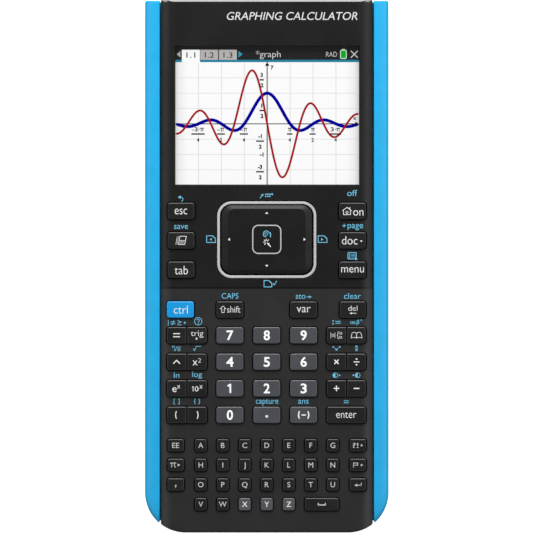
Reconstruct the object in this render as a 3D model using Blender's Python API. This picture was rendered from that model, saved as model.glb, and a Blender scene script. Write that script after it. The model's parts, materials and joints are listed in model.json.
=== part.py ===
"""Handheld graphing calculator, built as the assembly it is: shells, rails, display, touchpad, keys, electronics.

Frame: +X to the right and +Y towards the display end when the face is seen from above, +Z out of the face.
The origin is at the centre of the footprint, on the plane of the four foot pads.
Sizes are in millimetres. mesh_object() and place() turn them into Blender's metres.
"""

import math
from collections import namedtuple

import bpy

MM = 0.001
GAP = 0.3  # clearance kept between neighbouring solids

# --- Driving dimensions: the body ---
BODY_WIDTH = 86.0
BODY_LENGTH = 188.6
BOTTOM_CORNER_RADIUS = 14.2
TOP_CORNER_RADIUS = 1.6
FACE_HALF_WIDTH = 37.6  # the dark shells between the two rails
RAIL_INNER_X = FACE_HALF_WIDTH + 0.35
WALL = 1.6

# --- Driving dimensions: heights ---
BACK_Z = 0.7
REAR_FLOOR_Z = 2.2
SPLIT_Z = 7.0  # parting plane of the two shells
FACE_Z = 14.8
FACE_UNDERSIDE_Z = 13.2
KEY_TOP_Z = 15.7
KEY_BASE_Z = 12.0
KEY_TRAVEL = 0.8
MEMBRANE_Z = 9.6
BOARD_Z = 8.1
BOARD_THICKNESS = 1.2

# --- Driving dimensions: face layout ---
DISPLAY_Y = 53.3
DISPLAY_VIEW = (65.1, 48.9)
PAD_Y = 9.5
PAD_SIZE = (32.0, 24.25)
PAD_RING_OUTER = (35.1, 27.4)
PAD_RING_INNER = (33.1, 25.4)
SECTION_GROOVE_Y = -7.8
SIDE_KEY_X = 30.35
SIDE_KEY_Y = 9.15
SIDE_KEY_PITCH = 10.4
CONTROL_ROW_Y = -15.35
MATH_ROW_Y = -24.45
MATH_ROW_PITCH = 9.4
DIGIT_PITCH = 13.05
KEY_SIZE = (9.6, 5.8)
PAIR_WIDTH = 14.2
PAIR_X = 28.3
LETTER_ROW_Y = -63.4
LETTER_ROW_PITCH = 6.95
LETTER_PITCH = 7.79
LETTER_SIZE = (4.25, 4.4)
WIDE_LETTER_X = 32.25
WIDE_LETTER_WIDTH = 5.9
KEY_RADIUS = 0.9
LETTER_RADIUS = 0.7
KEY_GAP = 0.35  # between a cap and its opening in the face
PAIR_GAP = 0.3

# --- Battery bay and fasteners ---
BAY_Y = -38.0
BAY_INNER = (50.0, 62.0)
BAY_OUTER = (54.0, 66.0)
BAY_CEILING_Z = 6.9
COVER_SIZE = (51.6, 63.6)
COVER_THICKNESS = 1.3
COVER_SCREW_Y = BAY_Y - 28.6
CASE_SCREW_X = 31.5
CASE_SCREW_Y = 87.6
RESET_X, RESET_Y = 20.0, 62.0
FOOT_SIZE = (11.0, 5.0)
FOOT_X, FOOT_TOP_Y, FOOT_BOTTOM_Y = 26.0, 77.0, -84.0

CHARCOAL = ("charcoal_plastic", (0.030, 0.030, 0.031), 0.5, 0.0)
BLACK_KEY = ("black_key_plastic", (0.016, 0.016, 0.016), 0.45, 0.0)
GREY_KEY = ("grey_key_plastic", (0.070, 0.070, 0.080), 0.45, 0.0)
BLUE = ("blue_plastic", (0.030, 0.400, 0.810), 0.35, 0.0)
SILVER = ("silver_trim", (0.66, 0.66, 0.67), 0.3, 0.9)
CLEAR = ("window_plastic", (0.9, 0.9, 0.9), 0.05, 0.0)
DISPLAY = ("display_panel", (0.80, 0.82, 0.83), 0.3, 0.0)
RUBBER = ("membrane_rubber", (0.35, 0.36, 0.37), 0.8, 0.0)
BOARD = ("circuit_board", (0.02, 0.16, 0.07), 0.5, 0.0)
BATTERY = ("battery_wrap", (0.12, 0.12, 0.13), 0.5, 0.0)
STEEL = ("steel", (0.55, 0.55, 0.56), 0.35, 1.0)

Key = namedtuple("Key", "name x y width height radii finish")


# ---------------------------------------------------------------- general tools
def material(finish):
    """The Principled material of a finish, made once."""
    name, colour, roughness, metallic = finish
    found = bpy.data.materials.get(name)
    if found:
        return found
    made = bpy.data.materials.new(name)
    made.use_nodes = True
    shader = made.node_tree.nodes["Principled BSDF"]
    shader.inputs["Base Color"].default_value = (*colour, 1.0)
    shader.inputs["Roughness"].default_value = roughness
    shader.inputs["Metallic"].default_value = metallic
    return made


def mesh_object(name, vertices, faces, finish=None):
    """A mesh object from points in millimetres. With no finish it is a helper, which isn't part of the object."""
    mesh = bpy.data.meshes.new(name)
    mesh.from_pydata([(x * MM, y * MM, z * MM) for x, y, z in vertices], [], faces)
    mesh.validate()
    obj = bpy.data.objects.new(name, mesh)
    bpy.context.scene.collection.objects.link(obj)
    if finish:
        mesh.materials.append(material(finish))
    else:
        obj.hide_render = True
        obj.display_type = "WIRE"
    return obj


def place(obj, x, y, z):
    obj.location = (x * MM, y * MM, z * MM)
    return obj


def rings_to_mesh(rings):
    """Vertices and faces of the closed surface through rings of equal length, each anticlockwise from above."""
    count = len(rings[0])
    vertices = [point for ring in rings for point in ring]
    faces = [tuple(reversed(range(count)))]
    for level in range(len(rings) - 1):
        low, high = level * count, (level + 1) * count
        for i in range(count):
            j = (i + 1) % count
            faces.append((low + i, low + j, high + j, high + i))
    last = (len(rings) - 1) * count
    faces.append(tuple(range(last, last + count)))
    return vertices, faces


def merged(parts):
    """One (vertices, faces) out of several, kept as separate closed shells."""
    vertices, faces = [], []
    for points, polygons in parts:
        start = len(vertices)
        vertices += points
        faces += [tuple(start + i for i in polygon) for polygon in polygons]
    return vertices, faces


def at_height(outline, z):
    return [(x, y, z) for x, y in outline]


def prism(outline, low, high):
    return rings_to_mesh([at_height(outline, low), at_height(outline, high)])


def rounded_rectangle(width, height, radii, segments=2, centre=(0.0, 0.0)):
    """Anticlockwise outline. radii is one radius, or those of the right top, left top, left and right bottom."""
    radii = (radii,) * 4 if isinstance(radii, (int, float)) else radii
    points = []
    for quarter, radius in enumerate(radii):
        side_x = 1 if quarter in (0, 3) else -1
        side_y = 1 if quarter in (0, 1) else -1
        middle_x = centre[0] + side_x * (width / 2 - radius)
        middle_y = centre[1] + side_y * (height / 2 - radius)
        for step in range(segments + 1):
            angle = math.radians(90 * (quarter + step / segments))
            points.append((middle_x + radius * math.cos(angle), middle_y + radius * math.sin(angle)))
    return points


def circle(radius, x=0.0, y=0.0, sides=12):
    turn = 2 * math.pi / sides
    return [(x + radius * math.cos(i * turn), y + radius * math.sin(i * turn)) for i in range(sides)]


def box(low, high):
    (x0, y0, z0), (x1, y1, z1) = low, high
    return prism([(x0, y0), (x1, y0), (x1, y1), (x0, y1)], z0, z1)


def boolean(obj, operation, parts, name):
    """Adds an exact Boolean of obj with a hidden helper made of closed shells that don't touch each other."""
    helper = mesh_object(f"{obj.name}_{name}", *merged(parts))
    helper.location = obj.location
    modifier = obj.modifiers.new(name, "BOOLEAN")
    modifier.operation = operation
    modifier.solver = "EXACT"
    modifier.object = helper
    return helper


# ---------------------------------------------------------------- body outline
def shell_outline(half_width, inset, segments=6):
    """Plan outline of a dark shell: straight sides, a straight top end and the rounded bottom end, inset evenly."""
    end = BODY_LENGTH / 2 - inset
    radius = BOTTOM_CORNER_RADIUS - inset
    centre_x = BODY_WIDTH / 2 - BOTTOM_CORNER_RADIUS
    centre_y = -BODY_LENGTH / 2 + BOTTOM_CORNER_RADIUS
    widest = math.acos((half_width - centre_x) / radius)
    points = [(half_width, end), (-half_width, end)]
    for side in (-1, 1):
        arc = []
        for step in range(segments + 1):
            angle = widest + (math.pi / 2 - widest) * step / segments
            x = side * (centre_x + radius * math.cos(angle))
            arc.append((x, centre_y - radius * math.sin(angle)))
        points += arc if side < 0 else arc[::-1]
    return points


def side_fall(flat_x, edge_x, drop, steps=4):
    """(x, fall) pairs of a face that curves down from flat_x to edge_x, ever steeper."""
    shares = [step / steps for step in range(steps + 1)]
    return [(flat_x + (edge_x - flat_x) * share, drop * share**2) for share in shares]


def along_body(profile):
    """A closed extrusion of an XZ profile, clockwise seen from the bottom end, past both ends of the body."""
    reach = BODY_LENGTH / 2 + 5
    rings = [[(x, y, z) for x, z in profile] for y in (-reach, reach)]
    return rings_to_mesh(rings)


# ---------------------------------------------------------------- key layout
def single_key(name, x, y, finish=BLACK_KEY, width=KEY_SIZE[0], height=KEY_SIZE[1]):
    return Key(f"key_{name}", x, y, width, height, (KEY_RADIUS,) * 4, finish)


def key_pair(names, middle_x, y):
    """Two caps that share one opening, rounded only at the opening's own corners."""
    width = (PAIR_WIDTH - PAIR_GAP) / 2
    inner = 0.2
    keys = []
    for side, name in zip((-1, 1), names):
        outer_left = (inner, KEY_RADIUS, KEY_RADIUS, inner)
        outer_right = (KEY_RADIUS, inner, inner, KEY_RADIUS)
        radii = outer_left if side < 0 else outer_right
        x = middle_x + side * (width + PAIR_GAP) / 2
        keys.append(Key(f"key_{name}", x, y, width, KEY_SIZE[1], radii, BLACK_KEY))
    return keys


def single_keys():
    keys = []
    for side, names in ((-1, ("esc", "save", "tab")), (1, ("on", "doc", "menu"))):
        for row, name in enumerate(names):
            keys.append(single_key(name, side * SIDE_KEY_X, SIDE_KEY_Y + (1 - row) * SIDE_KEY_PITCH))
    corner_x = PAIR_X + (PAIR_WIDTH - KEY_SIZE[0]) / 2
    keys.append(single_key("ctrl", -corner_x, CONTROL_ROW_Y, BLUE))
    keys.append(single_key("shift", -DIGIT_PITCH, CONTROL_ROW_Y))
    keys.append(single_key("var", DIGIT_PITCH, CONTROL_ROW_Y))
    keys.append(single_key("del", corner_x, CONTROL_ROW_Y))
    digit_rows = (("7", "8", "9"), ("4", "5", "6"), ("1", "2", "3"), ("0", "point", "negate"))
    for row, names in enumerate(digit_rows):
        for column, name in enumerate(names):
            x, y = (column - 1) * DIGIT_PITCH, MATH_ROW_Y - row * MATH_ROW_PITCH
            keys.append(single_key(name, x, y, GREY_KEY))
    enter_y = MATH_ROW_Y - 3 * MATH_ROW_PITCH
    keys.append(single_key("enter", PAIR_X, enter_y, width=PAIR_WIDTH))
    return keys


def paired_keys():
    left = (("equals", "trig"), ("power", "square"), ("exp", "ten_power"), ("left_paren", "right_paren"))
    right = (("template", "catalog"), ("multiply", "divide"), ("plus", "minus"))
    pairs = []
    for middle_x, rows in ((-PAIR_X, left), (PAIR_X, right)):
        for row, names in enumerate(rows):
            pairs.append(key_pair(names, middle_x, MATH_ROW_Y - row * MATH_ROW_PITCH))
    return pairs


def letter_rows():
    """The (x, width) of every cap of each letter row, from the top row down."""
    letters = [((column - 3) * LETTER_PITCH, LETTER_SIZE[0]) for column in range(7)]
    wide = [(side * WIDE_LETTER_X, WIDE_LETTER_WIDTH) for side in (-1, 1)]
    full_row = [wide[0], *letters, wide[1]]
    space = (2.5 * LETTER_PITCH, LETTER_PITCH + LETTER_SIZE[0])
    return [full_row, full_row, full_row, [*letters[:5], space]]


def letter_row_y(row):
    return LETTER_ROW_Y - row * LETTER_ROW_PITCH


# ---------------------------------------------------------------- keys
FLANGE_LIP = 0.8
FLANGE_THICKNESS = 0.9
CAP_BEVEL = 0.35


def cap_rings(width, height, radii, low, high, segments=2, centre=(0.0, 0.0)):
    """A cap with a bevelled top edge, from low to high."""
    outline = rounded_rectangle(width, height, radii, segments, centre)
    narrow = [max(radius - CAP_BEVEL, 0.1) for radius in radii]
    top = rounded_rectangle(width - 2 * CAP_BEVEL, height - 2 * CAP_BEVEL, narrow, segments, centre)
    return [at_height(outline, low), at_height(outline, high - CAP_BEVEL), at_height(top, high)]


def make_key(key):
    """A cap on a flange that the face retains, with its origin on the line that it travels along."""
    height = KEY_TOP_Z - KEY_BASE_Z
    flange = rounded_rectangle(key.width, key.height + 2 * FLANGE_LIP, key.radii)
    rings = [at_height(flange, 0.0), at_height(flange, FLANGE_THICKNESS)]
    rings += cap_rings(key.width, key.height, key.radii, FLANGE_THICKNESS, height)
    place(mesh_object(key.name, *rings_to_mesh(rings), key.finish), key.x, key.y, KEY_BASE_Z)


def make_letter_row(row, caps):
    """The small caps of one row, moulded on one flexible web under the face."""
    left = min(x - width / 2 for x, width in caps)
    right = max(x + width / 2 for x, width in caps)
    middle = (left + right) / 2
    web = rounded_rectangle(right - left, LETTER_SIZE[1] + 2 * FLANGE_LIP, LETTER_RADIUS, 1)
    strip = mesh_object(f"letter_keys_row_{row + 1}", *prism(web, 0.0, FLANGE_THICKNESS), BLACK_KEY)
    place(strip, middle, letter_row_y(row), KEY_BASE_Z)
    height = KEY_TOP_Z - KEY_BASE_Z
    shells = []
    for x, width in caps:
        radii = (LETTER_RADIUS,) * 4
        inset = 0.02  # keeps the cap's sides off the web's ends
        rings = cap_rings(width - inset, LETTER_SIZE[1], radii, 0.4, height, 1, (x - middle, 0.0))
        shells.append(rings_to_mesh(rings))
    boolean(strip, "UNION", shells, "caps")


def make_keys():
    for key in single_keys():
        make_key(key)
    for pair in paired_keys():
        for key in pair:
            make_key(key)
    for row, caps in enumerate(letter_rows()):
        make_letter_row(row, caps)


# ---------------------------------------------------------------- shells
def face_openings():
    """Outlines of every hole through the face for the keys."""
    grown = 2 * KEY_GAP
    radius = KEY_RADIUS + KEY_GAP
    outlines = []
    for key in single_keys():
        size = (key.width + grown, key.height + grown)
        outlines.append(rounded_rectangle(*size, radius, 2, (key.x, key.y)))
    for first, second in paired_keys():
        centre = ((first.x + second.x) / 2, first.y)
        outlines.append(rounded_rectangle(PAIR_WIDTH + grown, KEY_SIZE[1] + grown, radius, 2, centre))
    for row, caps in enumerate(letter_rows()):
        for x, width in caps:
            size = (width + grown, LETTER_SIZE[1] + grown)
            centre = (x, letter_row_y(row))
            outlines.append(rounded_rectangle(*size, LETTER_RADIUS + KEY_GAP, 1, centre))
    return outlines


def rail_slots():
    """Room in each side wall of the front shell for the tongues of the rails."""
    inner_x, outer_x = FACE_HALF_WIDTH - WALL - 1, FACE_HALF_WIDTH + 1
    top_y, bottom_y, top_z = 91.0, -86.0, SPLIT_Z + 1.15
    slots = []
    for side in (-1, 1):
        x0, x1 = sorted((side * inner_x, side * outer_x))
        slots.append(box((x0, bottom_y, SPLIT_Z - 1), (x1, top_y, top_z)))
    return slots


def usb_cutout():
    return box((-4.2, 90.0, 3.7), (4.2, 96.0, 8.1))


def make_front_case():
    low = SPLIT_Z + GAP / 2
    edge = 1.0
    rings = [at_height(shell_outline(FACE_HALF_WIDTH, 0.0), low)]
    for step in range(4):
        angle = math.pi / 2 * step / 3
        inset, drop = edge * (1 - math.cos(angle)), edge * (1 - math.sin(angle))
        rings.append(at_height(shell_outline(FACE_HALF_WIDTH, inset), FACE_Z - drop))
    case = mesh_object("front_case", *rings_to_mesh(rings), CHARCOAL)

    fall = side_fall(32.5, FACE_HALF_WIDTH, 1.45)
    right = [(x, FACE_Z - drop) for x, drop in fall] + [(FACE_HALF_WIDTH + 1, FACE_Z - 2), (40.0, 0.0)]
    profile = [(-x, z) for x, z in reversed(right)] + right
    boolean(case, "INTERSECT", [along_body(profile)], "curved_face")

    cavity = shell_outline(FACE_HALF_WIDTH - WALL, WALL)
    boolean(case, "DIFFERENCE", [prism(cavity, 0.0, FACE_UNDERSIDE_Z)], "cavity")
    holes = [prism(outline, FACE_UNDERSIDE_Z - 1, FACE_Z + 1) for outline in face_openings()]
    boolean(case, "DIFFERENCE", holes, "key_openings")

    view = rounded_rectangle(DISPLAY_VIEW[0] + 0.7, DISPLAY_VIEW[1] + 0.7, 0.5, 1, (0, DISPLAY_Y))
    pad = rounded_rectangle(*PAD_RING_INNER, 4.0, 3, (0, PAD_Y))
    through = [prism(outline, FACE_UNDERSIDE_Z - 1, FACE_Z + 1) for outline in (view, pad)]
    boolean(case, "DIFFERENCE", through, "windows")
    pocket = rounded_rectangle(70.0, 53.8, 1.3, 1, (0, DISPLAY_Y))
    rebate = rounded_rectangle(PAD_RING_OUTER[0] + 2 * GAP, PAD_RING_OUTER[1] + 2 * GAP, 5.4, 4, (0, PAD_Y))
    groove = box((-50, SECTION_GROOVE_Y - 0.18, FACE_Z - 0.3), (50, SECTION_GROOVE_Y + 0.18, FACE_Z + 1))
    recesses = [prism(pocket, FACE_UNDERSIDE_Z - 1, 13.8), prism(rebate, 13.9, FACE_Z + 1), groove]
    boolean(case, "DIFFERENCE", recesses, "recesses")

    bosses, pilots = [], []
    for side in (-1, 1):
        x = side * CASE_SCREW_X
        bosses.append(prism(circle(3.0, x, CASE_SCREW_Y), BOARD_Z, FACE_UNDERSIDE_Z + 0.4))
        pilots.append(prism(circle(1.4, x, CASE_SCREW_Y, 8), BOARD_Z - 1, 12.5))
    boolean(case, "UNION", bosses, "screw_bosses")
    hooks = [box((x - 4.2, -93.5, 9.0), (x + 4.2, -92.0, 10.6)) for x in (-15.0, 15.0)]
    boolean(case, "DIFFERENCE", [*pilots, *hooks, *rail_slots(), usb_cutout()], "small_cuts")


def battery_bay():
    return rounded_rectangle(*BAY_OUTER, 3.0, 2, (0, BAY_Y))


def end_lips():
    """Lips that rise inside the end walls of the front shell, and the two hooks that hold its bottom end."""
    lips = []
    for x0, x1, side in ((-26, -6, 1), (6, 26, 1), (-25, 25, -1)):
        outer, inner, root = side * 92.4, side * 91.5, side * 93.2
        y0, y1 = sorted((inner, outer))
        foot0, foot1 = sorted((inner, root))
        lips.append([box((x0, foot0, 4.0), (x1, foot1, 6.2)), box((x0 + 0.1, y0, 4.1), (x1 - 0.1, y1, 8.0))])
    return lips


def make_rear_case():
    top = SPLIT_Z - GAP / 2
    profile = ((2.6, BACK_Z), (1.3, BACK_Z + 0.45), (0.45, BACK_Z + 1.3), (0.0, BACK_Z + 2.6), (0.0, top))
    rings = [at_height(shell_outline(FACE_HALF_WIDTH, inset), z) for inset, z in profile]
    case = mesh_object("rear_case", *rings_to_mesh(rings), CHARCOAL)
    fall = side_fall(33.0, FACE_HALF_WIDTH, 1.7)
    right = [(FACE_HALF_WIDTH + 2, FACE_Z), (FACE_HALF_WIDTH + 1, BACK_Z + 2.4)]
    right += [(x, BACK_Z + rise) for x, rise in reversed(fall)]
    section = right + [(-x, z) for x, z in reversed(right)]
    boolean(case, "INTERSECT", [along_body(section)], "curved_back")
    cavity = shell_outline(FACE_HALF_WIDTH - WALL, WALL)
    boolean(case, "DIFFERENCE", [prism(cavity, REAR_FLOOR_Z, FACE_Z)], "cavity")

    feet = []
    for x in (-FOOT_X, FOOT_X):
        for y in (FOOT_TOP_Y, FOOT_BOTTOM_Y):
            feet.append(prism(rounded_rectangle(*FOOT_SIZE, 2.4, 3, (x, y)), 0.0, BACK_Z + 0.6))
    bay = prism(battery_bay(), BACK_Z + 0.6, BAY_CEILING_Z + 0.8)
    bosses = [prism(circle(3.4, side * CASE_SCREW_X, CASE_SCREW_Y), 1.6, BOARD_Z - GAP) for side in (-1, 1)]
    boolean(case, "UNION", [*feet, bay, *bosses], "solids")
    for index, (foot, lip) in enumerate(end_lips()):
        boolean(case, "UNION", [foot], f"lip_foot_{index}")
        boolean(case, "UNION", [lip], f"lip_{index}")
    hooks = [box((x - 3.8, -92.4, 7.0), (x + 3.8, -91.6, 10.2)) for x in (-15.0, 15.0)]
    boolean(case, "UNION", hooks, "hooks")
    barbs = [box((x - 3.7, -92.9, 9.3), (x + 3.7, -91.7, 10.1)) for x in (-15.0, 15.0)]
    boolean(case, "UNION", barbs, "barbs")

    inside = prism(rounded_rectangle(*BAY_INNER, 2.0, 2, (0, BAY_Y)), -1.0, BAY_CEILING_Z)
    boolean(case, "DIFFERENCE", [inside], "bay")
    cover = rounded_rectangle(COVER_SIZE[0] + 0.6, COVER_SIZE[1] + 0.6, 2.6, 2, (0, BAY_Y))
    boolean(case, "DIFFERENCE", [prism(cover, -1.0, REAR_FLOOR_Z)], "cover_rebate")
    post = prism(circle(3.0, 0, COVER_SCREW_Y), REAR_FLOOR_Z + 0.1, BAY_CEILING_Z + 0.3)
    boolean(case, "UNION", [post], "cover_post")

    cuts = [usb_cutout(), prism(circle(1.2, 0, COVER_SCREW_Y, 8), 0.0, 6.2)]
    cuts.append(prism(circle(1.3, RESET_X, RESET_Y, 10), -1.0, REAR_FLOOR_Z + 1))
    for side in (-1, 1):
        cuts.append(prism(circle(2.7, side * CASE_SCREW_X, CASE_SCREW_Y), -1.0, 2.6))
    boolean(case, "DIFFERENCE", cuts, "holes")
    shanks = [prism(circle(1.5, side * CASE_SCREW_X, CASE_SCREW_Y, 8), 2.0, 9.0) for side in (-1, 1)]
    boolean(case, "DIFFERENCE", shanks, "screw_holes")


# (inset from the outer edge, height) round the outside of a rail, from its top inner edge to its bottom one
RAIL_SECTION = (
    (5.05, 13.0),
    (3.4, 12.75),
    (1.7, 12.3),
    (0.6, 11.5),
    (0.0, 10.2),
    (0.1, 8.4),
    (0.6, 6.0),
    (1.6, 4.1),
    (3.0, 2.9),
    (5.05, 2.3),
)


def rail_height(inset, upper):
    """Height of the rail's upper or lower surface at an inset from its outer edge."""
    half = RAIL_SECTION[:5] if upper else RAIL_SECTION[4:]
    points = sorted(half)
    for (d0, z0), (d1, z1) in zip(points, points[1:]):
        if inset <= d1:
            return z0 + (z1 - z0) * (inset - d0) / (d1 - d0)
    return points[-1][1]


def rail_ring(centre_x, y, outward, side):
    """One closed section of a rail, whose outer edge is at the arc's or the straight side's own point."""
    radius = BOTTOM_CORNER_RADIUS
    reach = (RAIL_INNER_X - centre_x) / math.cos(outward)
    deepest = radius - reach
    ring = []
    for index, (inset, _) in enumerate(RAIL_SECTION):
        depth = min(inset, deepest)
        x = centre_x + (radius - depth) * math.cos(outward)
        z = rail_height(depth, index <= 4)
        if index == 4:
            z = RAIL_SECTION[4][1]
        ring.append((side * x, y - (radius - depth) * math.sin(outward), z))
    return ring


def make_rail(name, side):
    """A side rail: its section runs down the straight side and round the bottom corner to a tip."""
    centre_x = BODY_WIDTH / 2 - BOTTOM_CORNER_RADIUS
    centre_y = -BODY_LENGTH / 2 + BOTTOM_CORNER_RADIUS
    tip = math.acos((RAIL_INNER_X - centre_x) / (BOTTOM_CORNER_RADIUS - 0.5))
    stations = [(BODY_LENGTH / 2 - 0.15, 0.0)]
    stations += [(centre_y, tip * step / 6) for step in range(7)]
    rings = [rail_ring(centre_x, y, outward, side) for y, outward in stations]
    vertices, faces = rings_to_mesh(rings if side > 0 else rings[::-1])
    rail = mesh_object(name, vertices, [face[::-1] for face in faces], BLUE)

    channels = []
    for low, high in ((4.6, 7.1), (7.85, 11.2)):
        x0, x1 = sorted((side * (RAIL_INNER_X - 1), side * (RAIL_INNER_X + 2.9)))
        channels.append(box((x0, -80.0, low), (x1, 92.0, high)))
    boolean(rail, "DIFFERENCE", channels, "channels")
    x0, x1 = sorted((side * (FACE_HALF_WIDTH - 1.2), side * (RAIL_INNER_X + 3.2)))
    boolean(rail, "UNION", [box((x0, -79.5, 7.1), (x1, 90.5, 7.85))], "tongue")


# ---------------------------------------------------------------- display and touchpad
def make_display():
    window = rounded_rectangle(69.2, 53.0, 1.0)
    place(mesh_object("display_window", *prism(window, 0.0, 0.8), CLEAR), 0, DISPLAY_Y, 12.7)
    frame = rounded_rectangle(70.0, 55.6, 0.8)
    module = mesh_object("display_module", *prism(frame, 0.0, 2.6), DISPLAY)
    place(module, 0, DISPLAY_Y, 9.8)
    boolean(module, "UNION", [box((-8, 27.0, 0.1), (8, 34.0, 0.5))], "flat_cable")
    active = rounded_rectangle(*DISPLAY_VIEW, 0.2, 1)
    boolean(module, "DIFFERENCE", [prism(active, 2.5, 4.0)], "active_area")


def make_touchpad():
    ring = mesh_object("touchpad_ring", *prism(rounded_rectangle(*PAD_RING_OUTER, 5.1, 4), 0.0, 0.85), SILVER)
    place(ring, 0, PAD_Y, 14.2)
    inner = rounded_rectangle(*PAD_RING_INNER, 4.0, 4)
    boolean(ring, "DIFFERENCE", [prism(inner, -1.0, 2.0)], "inside")

    pivot_z = 11.0
    flange = rounded_rectangle(PAD_SIZE[0] + 2.4, PAD_SIZE[1] + 2.4, 4.6, 3)
    outer = rounded_rectangle(*PAD_SIZE, 3.7, 3)
    top = rounded_rectangle(PAD_SIZE[0] - 2.6, PAD_SIZE[1] - 2.6, 2.4, 3)
    levels = ((flange, 0.7), (flange, 1.6), (outer, 1.6), (outer, 3.85), (top, 4.25))
    plate = mesh_object("touchpad_plate", *rings_to_mesh([at_height(*level) for level in levels]), BLACK_KEY)
    place(plate, 0, PAD_Y, pivot_z)
    hollow = rounded_rectangle(PAD_SIZE[0] - 3.0, PAD_SIZE[1] - 3.0, 2.4, 2)
    boolean(plate, "DIFFERENCE", [prism(hollow, 0.0, 3.0)], "hollow")
    boolean(plate, "DIFFERENCE", [prism(rounded_rectangle(11.0, 11.0, 2.4), 2.0, 6.0)], "button_opening")

    flange = rounded_rectangle(12.4, 12.4, 2.2)
    cap = rounded_rectangle(10.4, 10.4, 2.1)
    levels = ((flange, 1.85), (flange, 2.7), (cap, 2.7), (cap, 4.35))
    button = mesh_object("select_button", *rings_to_mesh([at_height(*level) for level in levels]), BLACK_KEY)
    place(button, 0, PAD_Y, pivot_z)

    sensor = rounded_rectangle(36.0, 28.0, 3.0)
    place(mesh_object("touch_sensor_board", *prism(sensor, -0.4, 0.2), BOARD), 0, PAD_Y, pivot_z)


# ---------------------------------------------------------------- electronics
def key_centres():
    centres = [(key.x, key.y) for key in single_keys()]
    centres += [(key.x, key.y) for pair in paired_keys() for key in pair]
    for row, caps in enumerate(letter_rows()):
        centres += [(x, letter_row_y(row)) for x, _ in caps]
    return centres


def make_membrane():
    """The rubber sheet, with a collapsible dome under every key and room for the touchpad."""
    top_y, bottom_y, arm_x, half_width = 24.8, -88.0, 20.5, 34.6
    outline = [(half_width, top_y), (arm_x, top_y), (arm_x, PAD_Y - 15), (-arm_x, PAD_Y - 15)]
    outline += [(-arm_x, top_y), (-half_width, top_y), (-half_width, bottom_y), (half_width, bottom_y)]
    sheet = mesh_object("keypad_membrane", *prism(outline, 0.0, 1.0), RUBBER)
    place(sheet, 0, 0, MEMBRANE_Z)
    domes = []
    for x, y in key_centres():
        rings = [at_height(circle(2.2, x, y, 6), 0.5), at_height(circle(2.2, x, y, 6), 1.2)]
        rings.append(at_height(circle(1.3, x, y, 6), 2.1))
        domes.append(rings_to_mesh(rings))
    boolean(sheet, "UNION", domes, "domes")


def make_main_board():
    outline = rounded_rectangle(69.4, 180.6, 8.0, 2, (0, 0.4))
    board = mesh_object("main_board", *prism(outline, 0.0, BOARD_THICKNESS), BOARD)
    place(board, 0, 0, BOARD_Z)
    notches = [prism(circle(4.0, side * CASE_SCREW_X, CASE_SCREW_Y), -1.0, 2.0) for side in (-1, 1)]
    boolean(board, "DIFFERENCE", notches, "boss_notches")
    shield_can = box((-15, 24, -2.4), (15, 52, 0.3))
    processor_support = box((-26, 60, -1.4), (-12, 72, 0.3))
    battery_plug = box((14, 2, -3.0), (24, 9, 0.3))
    reset_switch = box((RESET_X - 2, RESET_Y - 2, -1.0), (RESET_X + 2, RESET_Y + 2, 0.3))
    parts = [shield_can, processor_support, battery_plug, reset_switch]
    boolean(board, "UNION", parts, "components")


def make_battery():
    """The flat pack under its cover, with the cover's two hooks and its screw."""
    pack_y = 3.0
    pack = rounded_rectangle(48.0, 54.0, 2.2, 3, (0, pack_y))
    inner = rounded_rectangle(47.0, 53.0, 1.8, 3, (0, pack_y))
    levels = ((inner, 0.0), (pack, 0.5), (pack, 3.7), (inner, 4.2))
    rings = [at_height(*level) for level in levels]
    place(mesh_object("battery_pack", *rings_to_mesh(rings), BATTERY), 0, BAY_Y, 2.4)

    plate = rounded_rectangle(*COVER_SIZE, 2.3, 3)
    cover = mesh_object("battery_cover", *prism(plate, 0.0, COVER_THICKNESS), CHARCOAL)
    place(cover, 0, BAY_Y, BACK_Z)
    screw_y = COVER_SCREW_Y - BAY_Y
    counterbore = prism(circle(2.4, 0, screw_y), -1.0, 0.9)
    grip = [box((-8, y, -1.0), (8, y + 0.7, 0.25)) for y in (20.0, 22.0, 24.0)]
    boolean(cover, "DIFFERENCE", [counterbore, *grip], "counterbore")
    boolean(cover, "DIFFERENCE", [prism(circle(1.4, 0, screw_y, 8), -2.0, 3.0)], "screw_hole")


def make_screw(name, x, y, head_z, head, shank):
    """A cross-recess screw, head down. head and shank are each (radius, length)."""
    rings = [at_height(circle(head[0]), 0.0), at_height(circle(head[0]), head[1])]
    rings += [at_height(circle(shank[0]), head[1]), at_height(circle(shank[0]), head[1] + shank[1])]
    screw = mesh_object(name, *rings_to_mesh(rings), STEEL)
    place(screw, x, y, head_z)
    arm, half = 0.6 * head[0], 0.16 * head[0]
    depth = 0.6 * head[1]
    cross = [(arm, half), (half, half), (half, arm), (-half, arm), (-half, half), (-arm, half)]
    cross += [(-px, -py) for px, py in cross]
    boolean(screw, "DIFFERENCE", [prism(cross, -1.0, depth)], "cross_recess")


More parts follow.
